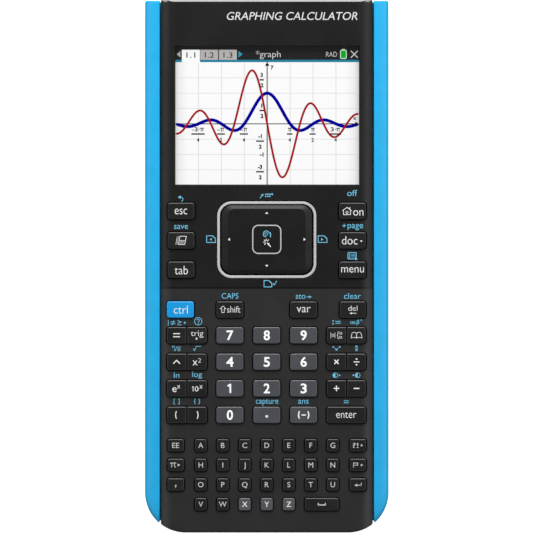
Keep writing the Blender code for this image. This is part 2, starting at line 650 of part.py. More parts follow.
def make_small_parts():
    shell = rounded_rectangle(7.7, 3.8, 0.7, 1)
    inner = rounded_rectangle(7.0, 3.1, 0.4, 1)
    back_y, front_y = 85.2, 94.0
    rings = [[(x, y, z) for x, z in shell] for y in (front_y, back_y)]
    socket = mesh_object("usb_socket", *rings_to_mesh(rings), STEEL)
    place(socket, 0, 0, 5.9)
    mouth = [[(x, y, z) for x, z in inner] for y in (front_y + 1, back_y + 0.8)]
    boolean(socket, "DIFFERENCE", [rings_to_mesh(mouth)], "mouth")
    boolean(socket, "UNION", [box((-2.4, back_y + 0.4, -0.4), (2.4, front_y - 1.2, 0.4))], "contact_tongue")

    sizes = ((1.0, 1.3), (1.0, 2.5), (1.7, 2.5), (1.7, 3.3), (0.8, 3.3), (0.8, 6.6))
    rings = [at_height(circle(radius, sides=10), z) for radius, z in sizes]
    button = mesh_object("reset_button", *rings_to_mesh(rings), BLACK_KEY)
    place(button, RESET_X, RESET_Y, 0)

    for side, name in ((-1, "case_screw_left"), (1, "case_screw_right")):
        make_screw(name, side * CASE_SCREW_X, CASE_SCREW_Y, 1.1, (2.3, 1.2), (1.1, 9.7))
    make_screw("battery_cover_screw", 0, COVER_SCREW_Y, 0.75, (2.0, 0.55), (0.9, 4.6))


def main():
    for obj in list(bpy.data.objects):
        bpy.data.objects.remove(obj)
    make_front_case()
    make_rear_case()
    make_rail("side_rail_left", -1)
    make_rail("side_rail_right", 1)
    make_display()
    make_touchpad()
    make_keys()
    make_membrane()
    make_main_board()
    make_battery()
    make_small_parts()


main()
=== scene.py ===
"""The looks of the graphing calculator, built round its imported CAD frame.

Sizes here are in millimetres, and mesh_object() turns them into metres. Places come from the CAD nodes.
"""

import json
import math
from itertools import pairwise

import bpy
import numpy as np
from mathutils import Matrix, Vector
from mathutils.geometry import delaunay_2d_cdt


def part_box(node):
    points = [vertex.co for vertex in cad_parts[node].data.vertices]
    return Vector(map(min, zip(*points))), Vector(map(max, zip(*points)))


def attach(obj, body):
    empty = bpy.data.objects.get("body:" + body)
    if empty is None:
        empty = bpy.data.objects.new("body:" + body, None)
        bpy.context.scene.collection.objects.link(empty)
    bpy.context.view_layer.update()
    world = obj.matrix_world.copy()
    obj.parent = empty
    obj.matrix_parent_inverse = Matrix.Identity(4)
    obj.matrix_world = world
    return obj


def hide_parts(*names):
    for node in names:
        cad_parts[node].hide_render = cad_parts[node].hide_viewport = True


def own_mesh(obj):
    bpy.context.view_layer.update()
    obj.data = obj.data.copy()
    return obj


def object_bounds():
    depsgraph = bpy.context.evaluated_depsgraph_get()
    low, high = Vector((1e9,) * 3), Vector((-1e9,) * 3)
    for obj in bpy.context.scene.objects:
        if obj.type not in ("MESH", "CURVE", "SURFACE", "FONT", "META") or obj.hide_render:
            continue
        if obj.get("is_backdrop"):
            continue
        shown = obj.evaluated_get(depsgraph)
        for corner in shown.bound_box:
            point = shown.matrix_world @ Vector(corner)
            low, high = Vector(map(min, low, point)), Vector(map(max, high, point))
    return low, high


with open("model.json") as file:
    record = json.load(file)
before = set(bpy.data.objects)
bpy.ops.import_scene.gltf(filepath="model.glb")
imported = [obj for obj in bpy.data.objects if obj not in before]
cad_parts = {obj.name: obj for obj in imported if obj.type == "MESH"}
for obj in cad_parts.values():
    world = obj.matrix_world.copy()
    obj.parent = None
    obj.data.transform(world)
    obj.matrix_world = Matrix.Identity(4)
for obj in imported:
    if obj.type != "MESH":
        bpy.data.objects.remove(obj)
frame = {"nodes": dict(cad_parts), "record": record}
CAD_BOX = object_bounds()
MM = 0.001


def box_mm(node):
    """Lowest and highest corner of a CAD node at rest, in millimetres."""
    low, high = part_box(node)
    return low / MM, high / MM


def footprint(node):
    """Size of a CAD node, and the x and y of its middle."""
    low, high = box_mm(node)
    return high - low, ((low + high) / 2).xy


def axis_of(node):
    """The x and y of an upright turned node's axis."""
    low, high = box_mm(node)
    return (low.x + high.x) / 2, (low.y + high.y) / 2


# --- Shells ---
BODY_WIDTH = (CAD_BOX[1].x - CAD_BOX[0].x) / MM
BODY_LENGTH = (CAD_BOX[1].y - CAD_BOX[0].y) / MM
FACE_LOW, FACE_HIGH = box_mm("front_case")
FACE_HALF_WIDTH = FACE_HIGH.x
FACE_Z = FACE_HIGH.z
WALL = 1.6  # thickness of both shells
FACE_UNDERSIDE_Z = FACE_Z - WALL
FACE_INSET = 0.2  # of the front shell's sides from their CAD solid
FLAT_HALF_WIDTH, FACE_FALL = 32.5, 1.45  # where the face begins to curve down, and how far down it comes
SECTION_GROOVE_Y = -7.68
SEAM_HALF_WIDTH, SEAM_DEPTH = 0.3, 1.3  # of the groove between the two sections of the face
BOTTOM_CORNER_RADIUS = 14.2
REAR_SPLIT_Z = 6.85
BACK_Z = 0.7  # the back shell's height above the table
BACK_FLAT_HALF_WIDTH, BACK_RISE = 33.0, 1.7
FOOT_LENGTH, FOOT_WIDTH, FOOT_RADIUS = 11.0, 5.0, 2.4

# --- Rails ---
RAIL_INNER_X = FACE_HALF_WIDTH + 0.35
RAIL_SKIN = 0.17  # how far the rails' soft outer skin stands out beyond their CAD solids
RAIL_WIDTH = 5.05
TONGUE_LOW, TONGUE_HIGH = 7.1, 7.85  # heights of the strip that reaches in between the shells

# --- Keys and touchpad ---
KEY_LIP = 0.8  # how far a key's flange reaches beyond its cap, up and down the face
KEY_BEVEL = 0.36  # the height below a CAD cap's top where its outline is full
KEY_GAP = 0.28
CAP_RADIUS, LETTER_CAP_RADIUS, PAIR_RADIUS = 0.9, 0.7, 0.2  # a cap's corners, and those inside a pair
PAD_BEVEL_SIDE, PAD_BEVEL_END, PAD_BEVEL_DROP = 2.3, 1.3, 0.5
PAD_FLANGE = 1.2  # how far the touchpad's flange reaches beyond its surface
TRIM_WIDTH = 0.96  # of the silver ring's band
SELECT_SIZE, SELECT_RADIUS = 10.5, 2.2

# --- Inks and prints ---
INK = 0.04  # thickness of a printed layer
LABEL_BLUE = (106, 184, 214)
LEGEND_WHITE = (224, 225, 226)
WORD_PEN, DIGIT_PEN, LETTER_PEN, LABEL_PEN = -0.035, 0.1, 0.02, -0.01  # how much each text is thickened


# ---------------------------------------------------------------- materials
def linear(colour, alpha=1.0):
    """Linear RGBA of an sRGB colour given as 0 to 255."""
    shares = [value / 255 for value in colour]
    return (*(s / 12.92 if s <= 0.04045 else ((s + 0.055) / 1.055) ** 2.4 for s in shares), alpha)


class Finish:
    """A Principled material whose colour, roughness and relief vary over the surface in object space."""

    def __init__(self, name, roughness=0.5, metallic=0.0, specular=0.5):
        self.material = bpy.data.materials.new(name)
        self.material.use_nodes = True
        self.nodes = self.material.node_tree.nodes
        self.links = self.material.node_tree.links
        self.shader = self.nodes["Principled BSDF"]
        self.shader.inputs["Roughness"].default_value = roughness
        self.shader.inputs["Metallic"].default_value = metallic
        self.shader.inputs["Specular IOR Level"].default_value = specular
        self.place = self.nodes.new("ShaderNodeTexCoord").outputs["Object"]

    def link(self, output, socket):
        self.links.new(output, socket)

    def noise(self, size_mm, detail=2.0):
        """Noise with features of about size_mm."""
        node = self.nodes.new("ShaderNodeTexNoise")
        node.inputs["Scale"].default_value = 1 / (size_mm * MM)
        node.inputs["Detail"].default_value = detail
        self.link(self.place, node.inputs["Vector"])
        return node.outputs["Fac"]

    def ramp(self, value, stops):
        """Colours or greys at positions along value."""
        node = self.nodes.new("ShaderNodeValToRGB")
        node.color_ramp.interpolation = "EASE"
        elements = node.color_ramp.elements
        while len(elements) < len(stops):
            elements.new(0.5)
        for element, (position, colour) in zip(elements, stops):
            element.position = position
            element.color = colour
        self.link(value, node.inputs["Fac"])
        return node.outputs["Color"]

    def scaled(self, value, low, high, to_low, to_high):
        node = self.nodes.new("ShaderNodeMapRange")
        for name, number in (("From Min", low), ("From Max", high), ("To Min", to_low), ("To Max", to_high)):
            node.inputs[name].default_value = number
        self.link(value, node.inputs["Value"])
        return node.outputs["Result"]

    def axis(self, name):
        node = self.nodes.new("ShaderNodeSeparateXYZ")
        self.link(self.place, node.inputs["Vector"])
        return node.outputs[name]

    def mottle(self, colour, amount, size_mm):
        """The base colour, with a faint cloudiness."""
        dark = linear([value * (1 - amount) for value in colour])
        light = linear([min(255, value * (1 + amount)) for value in colour])
        stops = ((0.3, dark), (0.7, light))
        self.link(self.ramp(self.noise(size_mm, 3.0), stops), self.shader.inputs["Base Color"])
        return self

    def uneven_gloss(self, low, high, size_mm=14.0):
        """Roughness that drifts between two values, as on a handled surface."""
        value = self.scaled(self.noise(size_mm, 4.0), 0.3, 0.7, low, high)
        self.link(value, self.shader.inputs["Roughness"])
        return self

    def grain(self, size_mm, depth_mm, strength=0.5):
        """Fine moulded or blasted relief."""
        bump = self.nodes.new("ShaderNodeBump")
        bump.inputs["Strength"].default_value = strength
        bump.inputs["Distance"].default_value = depth_mm * MM
        self.link(self.noise(size_mm, 3.0), bump.inputs["Height"])
        self.link(bump.outputs["Normal"], self.shader.inputs["Normal"])
        return self

    def glow(self, colour):
        self.shader.inputs["Emission Color"].default_value = linear(colour)
        return self


def moulded(name, colour, roughness, grain_mm=0.22, grain_depth=0.012, mottle=0.06, specular=0.4):
    """Plain moulded plastic with a fine spark-eroded grain."""
    finish = Finish(name, roughness, specular=specular)
    finish.mottle(colour, mottle, 6.0).uneven_gloss(roughness - 0.05, roughness + 0.05)
    return finish.grain(grain_mm, grain_depth).material


def face_sections(finish):
    """The face's colour: darker beside the display and touchpad, a step lighter round the keys, and painted
    shade darkening the groove between the two.
    """
    groove = SECTION_GROOVE_Y * MM
    reach = 2.0 * MM
    along = finish.scaled(finish.axis("Y"), groove - reach, groove + reach, 0.0, 1.0)
    # The near-black colour across the groove's band is painted shade, for the shadow that falls in the
    # groove.
    lower, upper, groove_shade = linear((39, 39, 39)), linear((21, 21, 21)), linear((5, 5, 5))
    edge = SEAM_HALF_WIDTH / 4.0
    stops = ((0.0, lower), (0.49 - edge, lower), (0.5 - edge, groove_shade))
    stops += ((0.5 + edge, groove_shade), (0.51 + edge, upper), (1.0, upper))
    section = finish.ramp(along, stops)
    thin, thick = (0.93, 0.93, 0.93, 1.0), (1.07, 1.07, 1.07, 1.0)
    cloud = finish.ramp(finish.noise(9.0, 3.0), ((0.3, thin), (0.7, thick)))
    mix = finish.nodes.new("ShaderNodeMix")
    mix.data_type, mix.blend_type = "RGBA", "MULTIPLY"
    mix.inputs["Factor"].default_value = 1.0
    finish.link(section, mix.inputs["A"])
    finish.link(cloud, mix.inputs["B"])
    finish.link(mix.outputs["Result"], finish.shader.inputs["Base Color"])


def face_plastic():
    """The front shell, with a satin face and a polished facet along its top end."""
    finish = Finish("front_case_plastic", 0.4, specular=0.25)
    face_sections(finish)
    end = (BODY_LENGTH / 2 - 0.76) * MM
    polish = finish.scaled(finish.axis("Y"), end, end + 0.1 * MM, 0.0, 1.0)
    blend = finish.nodes.new("ShaderNodeMix")
    finish.link(polish, blend.inputs["Factor"])
    finish.link(finish.scaled(finish.noise(14.0, 4.0), 0.3, 0.7, 0.36, 0.44), blend.inputs["A"])
    blend.inputs["B"].default_value = 0.2
    finish.link(blend.outputs["Result"], finish.shader.inputs["Roughness"])
    finish.link(polish, finish.shader.inputs["Coat Weight"])
    finish.shader.inputs["Coat Roughness"].default_value = 0.2
    finish.shader.inputs["Coat IOR"].default_value = 1.9
    return finish.grain(0.18, 0.006, 0.3).material


def metallic(name, colour, mottle, mottle_mm, gloss):
    return Finish(name, metallic=1.0).mottle(colour, mottle, mottle_mm).uneven_gloss(*gloss).material


def lit(name, colour, shadowed_edge_colour=None):
    """A part of the picture on the backlit display, with painted shade darkening it towards the panel's
    sides, where the bezel's shadow falls on the recessed picture.
    """
    finish = Finish(name, 0.5, specular=0.0)
    across = finish.scaled(finish.axis("X"), -DISPLAY_HALF_X * MM, DISPLAY_HALF_X * MM, 0.0, 1.0)
    # The colour at the sides is painted shade: the bezel's shadow on the recessed picture.
    full, edge = linear(colour), linear(shadowed_edge_colour or [value * 0.96 for value in colour])
    between = tuple((a + 2 * b) / 3 for a, b in zip(edge, full))
    stops = ((0.0, edge), (0.025, between), (0.075, full), (0.925, full), (0.975, between), (1.0, edge))
    shade = finish.ramp(across, stops)
    finish.link(shade, finish.shader.inputs["Emission Color"])
    finish.shader.inputs["Emission Strength"].default_value = 0.88
    finish.shader.inputs["Base Color"].default_value = tuple(value * 0.15 for value in full[:3]) + (1.0,)
    return finish.uneven_gloss(0.4, 0.5).material


def printed(name, colour):
    """Pad-printed ink, slightly uneven."""
    finish = Finish(name, 0.5, specular=0.3)
    return finish.mottle(colour, 0.04, 1.2).uneven_gloss(0.42, 0.56, 3.0).material


# ---------------------------------------------------------------- mesh tools
def mesh_object(name, vertices, faces, finish, smooth_angle=28.0):
    """A mesh object from points in millimetres, shaded smooth except across sharp edges."""
    mesh = bpy.data.meshes.new(name)
    mesh.from_pydata([(x * MM, y * MM, z * MM) for x, y, z in vertices], [], faces)
    mesh.validate()
    if finish:
        mesh.materials.append(finish)
    obj = bpy.data.objects.new(name, mesh)
    bpy.context.scene.collection.objects.link(obj)
    if smooth_angle:
        soften(obj, smooth_angle)
    return obj


def soften(obj, angle=28.0):
    """Smooth shading in which large faces keep their own direction."""
    obj.data.shade_smooth()
    obj.data.set_sharp_from_angle(angle=math.radians(angle))
    modifier = obj.modifiers.new("weighted", "WEIGHTED_NORMAL")
    modifier.keep_sharp = True
    bake_modifiers(obj)


def bake_modifiers(obj):
    depsgraph = bpy.context.evaluated_depsgraph_get()
    result = bpy.data.meshes.new_from_object(obj.evaluated_get(depsgraph))
    obj.modifiers.clear()
    old = obj.data
    obj.data = result
    bpy.data.meshes.remove(old)
    result.name = obj.name


def rings_to_mesh(rings):
    """Vertices and faces of the closed surface through equal rings, each anticlockwise from above."""
    count = len(rings[0])
    vertices = [point for ring in rings for point in ring]
    faces = [tuple(reversed(range(count)))]
    for level in range(len(rings) - 1):
        low, high = level * count, (level + 1) * count
        for i in range(count):
            j = (i + 1) % count
            faces.append((low + i, low + j, high + j, high + i))
    last = (len(rings) - 1) * count
    faces.append(tuple(range(last, last + count)))
    return vertices, faces


def merged(parts):
    """One (vertices, faces) out of several, kept as separate closed shells."""
    vertices, faces = [], []
    for points, polygons in parts:
        start = len(vertices)
        vertices += points
        faces += [tuple(start + i for i in polygon) for polygon in polygons]
    return vertices, faces


def at_height(outline, z):
    return [(x, y, z) for x, y in outline]


def prism(outline, low, high):
    return rings_to_mesh([at_height(outline, low), at_height(outline, high)])


def box(low, high):
    (x0, y0, z0), (x1, y1, z1) = low, high
    return prism([(x0, y0), (x1, y0), (x1, y1), (x0, y1)], z0, z1)


def rounded_rectangle(width, height, radii, segments=8, centre=(0.0, 0.0)):
    """Anticlockwise outline. radii is one, or four: right top, left top, left bottom, right bottom."""
    radii = (radii,) * 4 if isinstance(radii, (int, float)) else radii
    points = []
    for quarter, radius in enumerate(radii):
        side_x = 1 if quarter in (0, 3) else -1
        side_y = 1 if quarter in (0, 1) else -1
        middle_x = centre[0] + side_x * (width / 2 - radius)
        middle_y = centre[1] + side_y * (height / 2 - radius)
        for step in range(segments + 1):
            angle = math.radians(90 * (quarter + step / segments))
            points.append((middle_x + radius * math.cos(angle), middle_y + radius * math.sin(angle)))
    return points


def circle(radius, x=0.0, y=0.0, sides=32):
    turn = 2 * math.pi / sides
    return [(x + radius * math.cos(i * turn), y + radius * math.sin(i * turn)) for i in range(sides)]


def quarter_round(radius, steps=5):
    """(inset, drop) pairs of a rounded top edge, from the wall up to the top."""
    pairs = []
    for step in range(steps + 1):
        angle = math.pi / 2 * step / steps
        pairs.append((radius * (1 - math.cos(angle)), radius * (1 - math.sin(angle))))
    return pairs


def eased_rings(width, height, radius, centre, edge, z, segments=8):
    """Rings of a rounded block's eased edge. edge gives each ring's inset and its height from z."""
    rings = []
    for inset, rise in edge:
        outline = rounded_rectangle(width - 2 * inset, height - 2 * inset, radius - inset, segments, centre)
        rings.append(at_height(outline, z + rise))
    return rings


def turned(profile, x=0.0, y=0.0, sides=32):
    """A turned solid from (radius, z) pairs, bottom first."""
    return rings_to_mesh([at_height(circle(radius, x, y, sides), z) for radius, z in profile])


def cut(obj, operation, parts, finish=None):
    """Applies an exact Boolean of obj with closed shells that don't touch each other."""
    helper = mesh_object("helper", *merged(parts), finish, 0)
    modifier = obj.modifiers.new("cut", "BOOLEAN")
    modifier.operation = operation
    modifier.solver = "EXACT"
    modifier.material_mode = "TRANSFER" if finish else "INDEX"
    modifier.object = helper
    bake_modifiers(obj)
    bpy.data.objects.remove(helper)


def piece(obj, body, slot, *nodes):
    """Puts a finished piece on its body, in place of the CAD nodes it stands for. Its slot argument is not
    used.
    """
    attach(obj, body)
    if nodes:
        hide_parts(*nodes)
    return obj


# ---------------------------------------------------------------- printed layers
CAPSULE_STEPS = 3
X_BAND, CAP_BAND = 0.458, 0.686  # the built-in font's x-height and capital height, as a share of its size
glyph_cache = {}


def text_polygons(body, weight=0.0):
    """The filled outlines of a line of text at size 1, as (polygons, boundary edges), baseline at y 0."""
    if (body, weight) in glyph_cache:
        return glyph_cache[body, weight]
    curve = bpy.data.curves.new("text", "FONT")
    curve.body = body
    curve.size = 1.0
    curve.resolution_u = 4
    curve.offset = weight
    holder = bpy.data.objects.new("text", curve)
    bpy.context.scene.collection.objects.link(holder)
    depsgraph = bpy.context.evaluated_depsgraph_get()
    mesh = holder.evaluated_get(depsgraph).to_mesh()
    points = [tuple(vertex.co.xy) for vertex in mesh.vertices]
    polygons = [[points[i] for i in polygon.vertices] for polygon in mesh.polygons]
    uses = {}
    for polygon in mesh.polygons:
        for edge in polygon.edge_keys:
            uses[edge] = uses.get(edge, 0) + 1
    edges = [(points[a], points[b]) for (a, b), count in uses.items() if count == 1]
    bpy.data.objects.remove(holder)
    bpy.data.curves.remove(curve)
    glyph_cache[body, weight] = polygons, edges
    return glyph_cache[body, weight]


def capsule(start, end, radius):
    """A straight pen stroke with round ends."""
    heading = math.atan2(end[1] - start[1], end[0] - start[0])
    points = []
    for centre, first in ((end, heading - math.pi / 2), (start, heading + math.pi / 2)):
        for step in range(CAPSULE_STEPS + 1):
            angle = first + math.pi * step / CAPSULE_STEPS
            points.append((centre[0] + radius * math.cos(angle), centre[1] + radius * math.sin(angle)))
    return points


def arc_points(x, y, radius, start, end, steps=12):
    """Points of an arc from start to end degrees."""
    angles = [math.radians(start + (end - start) * step / steps) for step in range(steps + 1)]
    return [(x + radius * math.cos(angle), y + radius * math.sin(angle)) for angle in angles]


class Ink:
    """Flat shapes round an origin, which may overlap and are united into one printed layer."""

    def __init__(self, x=0.0, y=0.0):
        self.x, self.y = x, y
        self.polygons = []

    def shape(self, points):
        self.polygons.append(list(points))
        return self

    def stroke(self, points, width=0.3, closed=False):
        points = [*points, points[0]] if closed else points
        for start, end in pairwise(points):
            self.shape(capsule(start, end, width / 2))
        return self

    def dot(self, x, y, radius):
        return self.shape(circle(radius, x, y, 16))

    def block(self, x, y, width, height):
        left, right, low, high = x - width / 2, x + width / 2, y - height / 2, y + height / 2
        return self.shape([(left, low), (right, low), (right, high), (left, high)])

    def frame(self, x, y, width, height, pen=0.22):
        return self.stroke(rounded_rectangle(width, height, 0.12, 2, (x, y)), pen, closed=True)

    def pointer(self, x, y, length, breadth, towards):
        """A filled triangle that points towards an angle in degrees."""
        cosine, sine = math.cos(math.radians(towards)), math.sin(math.radians(towards))
        corners = ((length / 2, 0), (-length / 2, breadth / 2), (-length / 2, -breadth / 2))
        points = []
        for along, across in corners:
            points.append((x + along * cosine - across * sine, y + along * sine + across * cosine))
        return self.shape(points)

    def word(self, body, x, y, height, width=None, pen=0.0, band=X_BAND, slant=0.0):
        """Text centred on (x, y), height being that of x or of a capital. pen thickens its strokes."""
        size = (height - 2 * pen) / band
        polygons, edges = text_polygons(body, round(min(pen, 0.0) / size, 3))
        pen = max(pen, 0.0)
        left = min(dx for polygon in polygons for dx, _ in polygon)
        right = max(dx for polygon in polygons for dx, _ in polygon)
        stretch = size if width is None else (width - 2 * pen) / (right - left)
        middle = (left + right) / 2

        def placed(point):
            rise = point[1] * size - band * size / 2
            return (x + (point[0] - middle) * stretch + slant * rise, y + rise)

        for polygon in polygons:
            self.shape([placed(point) for point in polygon])
        if pen:
            for start, end in edges:
                self.shape(capsule(placed(start), placed(end), pen))
        return self

    def united(self):
        """The outlines of the union of all shapes, anticlockwise round ink and clockwise round holes."""
        points, triangles = covered(self.polygons, any_cover=True)
        directed = {pair for corners in triangles for pair in pairwise((*corners, corners[0]))}
        follow = {}
        for a, b in directed:
            if (b, a) not in directed:
                follow.setdefault(a, []).append(b)
        loops = []
        while follow:
            loop = [next(iter(follow))]
            while True:
                ahead = follow[loop[-1]]
                step = ahead.pop()
                if not ahead:
                    del follow[loop[-1]]
                if step == loop[0]:
                    break
                loop.append(step)
            loops.append([points[i] for i in loop])
        return loops


def covered(outlines, any_cover):
    """Points and anticlockwise triangles of what outlines cover at all, or an odd number of times."""
    flat, faces = [], []
    for outline in outlines:
        faces.append(list(range(len(flat), len(flat) + len(outline))))
        flat += [Vector(point) for point in outline]
    result = delaunay_2d_cdt(flat, [], faces, 0, 1e-5)
    points = [tuple(point) for point in result[0]]
    middles = np.array(points)[np.array(result[2])].mean(axis=1)
    counts = np.zeros(len(middles), int)
    for outline in outlines:
        ring = np.array(outline)
        near = np.flatnonzero(((middles > ring.min(axis=0)) & (middles < ring.max(axis=0))).all(axis=1))
        x, y = middles[near].T
        crossings = np.zeros(len(near), int)
        for (x0, y0), (x1, y1) in zip(ring, np.roll(ring, -1, axis=0)):
            if y0 != y1:
                crossings += ((y0 > y) != (y1 > y)) & (x < x0 + (y - y0) * (x1 - x0) / (y1 - y0))
        counts[near] += crossings % 2
    kept = counts > 0 if any_cover else counts % 2 == 1
    return points, [corners for corners, keep in zip(result[2], kept) if keep]


def thinned(points, tolerance):
    """An open line with only the points that matter to its shape."""
    start, end = points[0], points[-1]
    length = math.dist(start, end)
    farthest, index = 0.0, 0
    for i in range(1, len(points) - 1):
        offset_x, offset_y = points[i][0] - start[0], points[i][1] - start[1]
        if length < 1e-9:
            away = math.hypot(offset_x, offset_y)
        else:
            away = abs(offset_x * (end[1] - start[1]) - offset_y * (end[0] - start[0])) / length
        if away > farthest:
            farthest, index = away, i
    if farthest <= tolerance:
        return [start, end]
    return thinned(points[: index + 1], tolerance)[:-1] + thinned(points[index:], tolerance)


def filled(loops, tolerance=0.008):
    """Points and anticlockwise triangles of the region inside loops, holes left open."""
    outlines = [thinned([*loop, loop[0]], tolerance)[:-1] for loop in loops]
    return covered([outline for outline in outlines if len(outline) > 2], any_cover=False)


def printed_layer(name, inks, surface, finish, rise=INK / 2):
    """A thin closed layer of ink. surface gives the height of what it is printed on."""
    vertices, faces = [], []
    for ink in inks:
        points, triangles = filled(ink.united())
        points = [(ink.x + dx, ink.y + dy) for dx, dy in points]
        start, count = len(vertices), len(points)
        vertices += [(x, y, surface(x, y) + rise) for x, y in points]
        vertices += [(x, y, surface(x, y) + rise - INK) for x, y in points]
        directed = set()
        for triangle in triangles:
            faces.append(tuple(start + i for i in triangle))
            faces.append(tuple(start + count + i for i in reversed(triangle)))
            directed.update(pairwise((*triangle, triangle[0])))
        for a, b in directed:
            if (b, a) not in directed:
                faces.append((start + a, start + count + a, start + count + b, start + b))
    return mesh_object(name, vertices, faces, finish)


def level(z):
    """A flat surface at one height, for printed_layer()."""
    return lambda x, y: z


# ---------------------------------------------------------------- shells
def face_height(x, _=0.0):
    """Height of the face at any y: flat in the middle, and curving down towards the rails."""
    beyond = max(0.0, abs(x) - FLAT_HALF_WIDTH) / (FACE_HALF_WIDTH - FLAT_HALF_WIDTH)
    return FACE_Z - FACE_FALL * beyond**2


def shell_outline(half_width, inset, segments=24):
    """Plan outline of a dark shell, inset evenly: straight sides and top end, and the rounded bottom end."""
    end = BODY_LENGTH / 2 - inset
    radius = BOTTOM_CORNER_RADIUS - inset
    centre_x = BODY_WIDTH / 2 - BOTTOM_CORNER_RADIUS
    centre_y = -BODY_LENGTH / 2 + BOTTOM_CORNER_RADIUS
    widest = math.acos((half_width - centre_x) / radius)
    points = [(half_width, end), (-half_width, end)]
    for side in (-1, 1):
        arc = []
        for step in range(segments + 1):
            angle = widest + (math.pi / 2 - widest) * step / segments
            arc.append((side * (centre_x + radius * math.cos(angle)), centre_y - radius * math.sin(angle)))
        points += arc if side < 0 else arc[::-1]
    return points


def along_body(profile):
    """A closed extrusion of an XZ profile, clockwise seen from the bottom end, past both ends of the body."""
    reach = BODY_LENGTH / 2 + 5
    return rings_to_mesh([[(x, y, z) for x, z in profile] for y in (-reach, reach)])


def side_profile(flat_x, drop, steps=28):
    """(x, fall) pairs of a surface that curves away from flat_x to the shell's edge."""
    reach = FACE_HALF_WIDTH - flat_x
    return [(flat_x + reach * step / steps, drop * (step / steps) ** 2) for step in range(steps + 1)]


# (inset, drop) of a cap's edge, from the wall up to the top: a narrow sloping facet, rounded into both
CAP_EDGE = ((0.0, 0.34), (0.01, 0.2), (0.03, 0.15), (0.06, 0.125), (0.23, 0.03), (0.27, 0.008), (0.34, 0.0))
# (growth of the opening, height above the face) of an opening's softened rim, from the inside out
RIM = ((0.0, -0.16), (0.02, -0.09), (0.06, -0.03), (0.12, 0.005), (0.16, 0.03), (0.17, 1.0))


def opening(width, height, radii, centre, segments=8, rim=RIM):
    """A cutter for an opening through the face with a softened rim that follows the face."""
    def outline(growth):
        grown = [radius + growth for radius in radii]
        return rounded_rectangle(width + 2 * growth, height + 2 * growth, grown, segments, centre)

    rings = [at_height(outline(0.0), FACE_UNDERSIDE_Z - 1)]
    for growth, above in rim:
        rings.append([(x, y, face_height(x) + above) for x, y in outline(growth)])
    return rings_to_mesh(rings)


class Cap:
    """The cap of a key: its outline as the CAD node has it, and the body it rides on."""

    def __init__(self, node, points, inner_side=0, radius=CAP_RADIUS):
        self.node = node
        low_x, high_x = min(p.x for p in points), max(p.x for p in points)
        low_y, high_y = min(p.y for p in points), max(p.y for p in points)
        self.width, self.height = high_x - low_x, high_y - low_y
        self.x, self.y = (low_x + high_x) / 2, (low_y + high_y) / 2
        self.top = max(p.z for p in points)
        self.base = box_mm(node)[0].z
        right = PAIR_RADIUS if inner_side > 0 else radius
        left = PAIR_RADIUS if inner_side < 0 else radius
        self.radii = (right, left, left, right)


def top_points(node):
    """The points of a CAD node's caps, from where their outline is full up to their tops."""
    points = [vertex.co / MM for vertex in frame["nodes"][node].data.vertices]
    floor = box_mm(node)[1].z - KEY_BEVEL
    return [point for point in points if point.z > floor]


SINGLE_KEYS = (
    "esc", "save", "tab", "on", "doc", "menu", "ctrl", "shift", "var", "del",
    "7", "8", "9", "4", "5", "6", "1", "2", "3", "0", "point", "negate", "enter",
)
GREY_KEYS = ("0", "1", "2", "3", "4", "5", "6", "7", "8", "9", "point", "negate")
KEY_PAIRS = (
    ("equals", "trig"), ("power", "square"), ("exp", "ten_power"), ("left_paren", "right_paren"),
    ("template", "catalog"), ("multiply", "divide"), ("plus", "minus"),
)
RIGHT_COLUMN = ("del", "catalog", "divide", "minus", "enter")
RIGHT_TRIM = 0.3  # how much of their moulded edge is taken off, to line up with the keys above
LETTER_ROWS = (
    ("ee", *"abcdefg", "punctuation"),
    ("pi", *"hijklmn", "flag"),
    ("comma", *"opqrstu", "return"),
    (*"vwxyz", "space"),
)


def find_caps():
    """Every cap by its plain name."""
    caps = {}
    for name in SINGLE_KEYS:
        caps[name] = Cap(f"key_{name}", top_points(f"key_{name}"))
    for left, right in KEY_PAIRS:
        caps[left] = Cap(f"key_{left}", top_points(f"key_{left}"), inner_side=1)
        caps[right] = Cap(f"key_{right}", top_points(f"key_{right}"), inner_side=-1)
    for row, names in enumerate(LETTER_ROWS):
        node = f"letter_keys_row_{row + 1}"
        points = sorted(top_points(node), key=lambda point: point.x)
        for name, span in zip(names, split_letters(points), strict=True):
            caps[name] = Cap(node, span, radius=LETTER_CAP_RADIUS)
    for name in RIGHT_COLUMN:
        caps[name].width -= RIGHT_TRIM
        caps[name].x -= RIGHT_TRIM / 2
    return caps


def split_letters(points):
    """Splits a row's top points, sorted by x, into caps: at each gap that comes after a cap's full width."""
    narrowest, gap, pitch = 3.6, 1.0, 5.0
    spans = [[points[0]]]
    for point in points[1:]:
        start, previous = spans[-1][0].x, spans[-1][-1].x
        if point.x - previous > gap and previous - start > narrowest and point.x - start > pitch:
            spans.append([])
        spans[-1].append(point)
    return spans


def face_openings(caps):
    """Cutters for every key opening."""
    cutters = []
    grown = 2 * KEY_GAP
    for name in SINGLE_KEYS:
        cap = caps[name]
        radii = [radius + KEY_GAP for radius in cap.radii]
        cutters.append(opening(cap.width + grown, cap.height + grown, radii, (cap.x, cap.y)))
    for left, right in KEY_PAIRS:
        first, second = caps[left], caps[right]
        width = second.x + second.width / 2 - first.x + first.width / 2
        centre = ((first.x - first.width / 2 + second.x + second.width / 2) / 2, first.y)
        cutters.append(opening(width + grown, first.height + grown, (CAP_RADIUS + KEY_GAP,) * 4, centre))
    for names in LETTER_ROWS:
        for name in names:
            cap = caps[name]
            size = (cap.width + grown, cap.height + grown)
            cutters.append(opening(*size, (LETTER_CAP_RADIUS + KEY_GAP,) * 4, (cap.x, cap.y), 5))
    return cutters


def display_opening():
    rim = ((0.0, -0.3), (0.02, -0.1), (0.06, -0.02), (0.12, 0.02), (0.13, 1.0))
    return opening(2 * DISPLAY_HALF_X + 0.4, 2 * DISPLAY_HALF_Y + 0.4, (0.25,) * 4, picture_centre(), 4, rim)


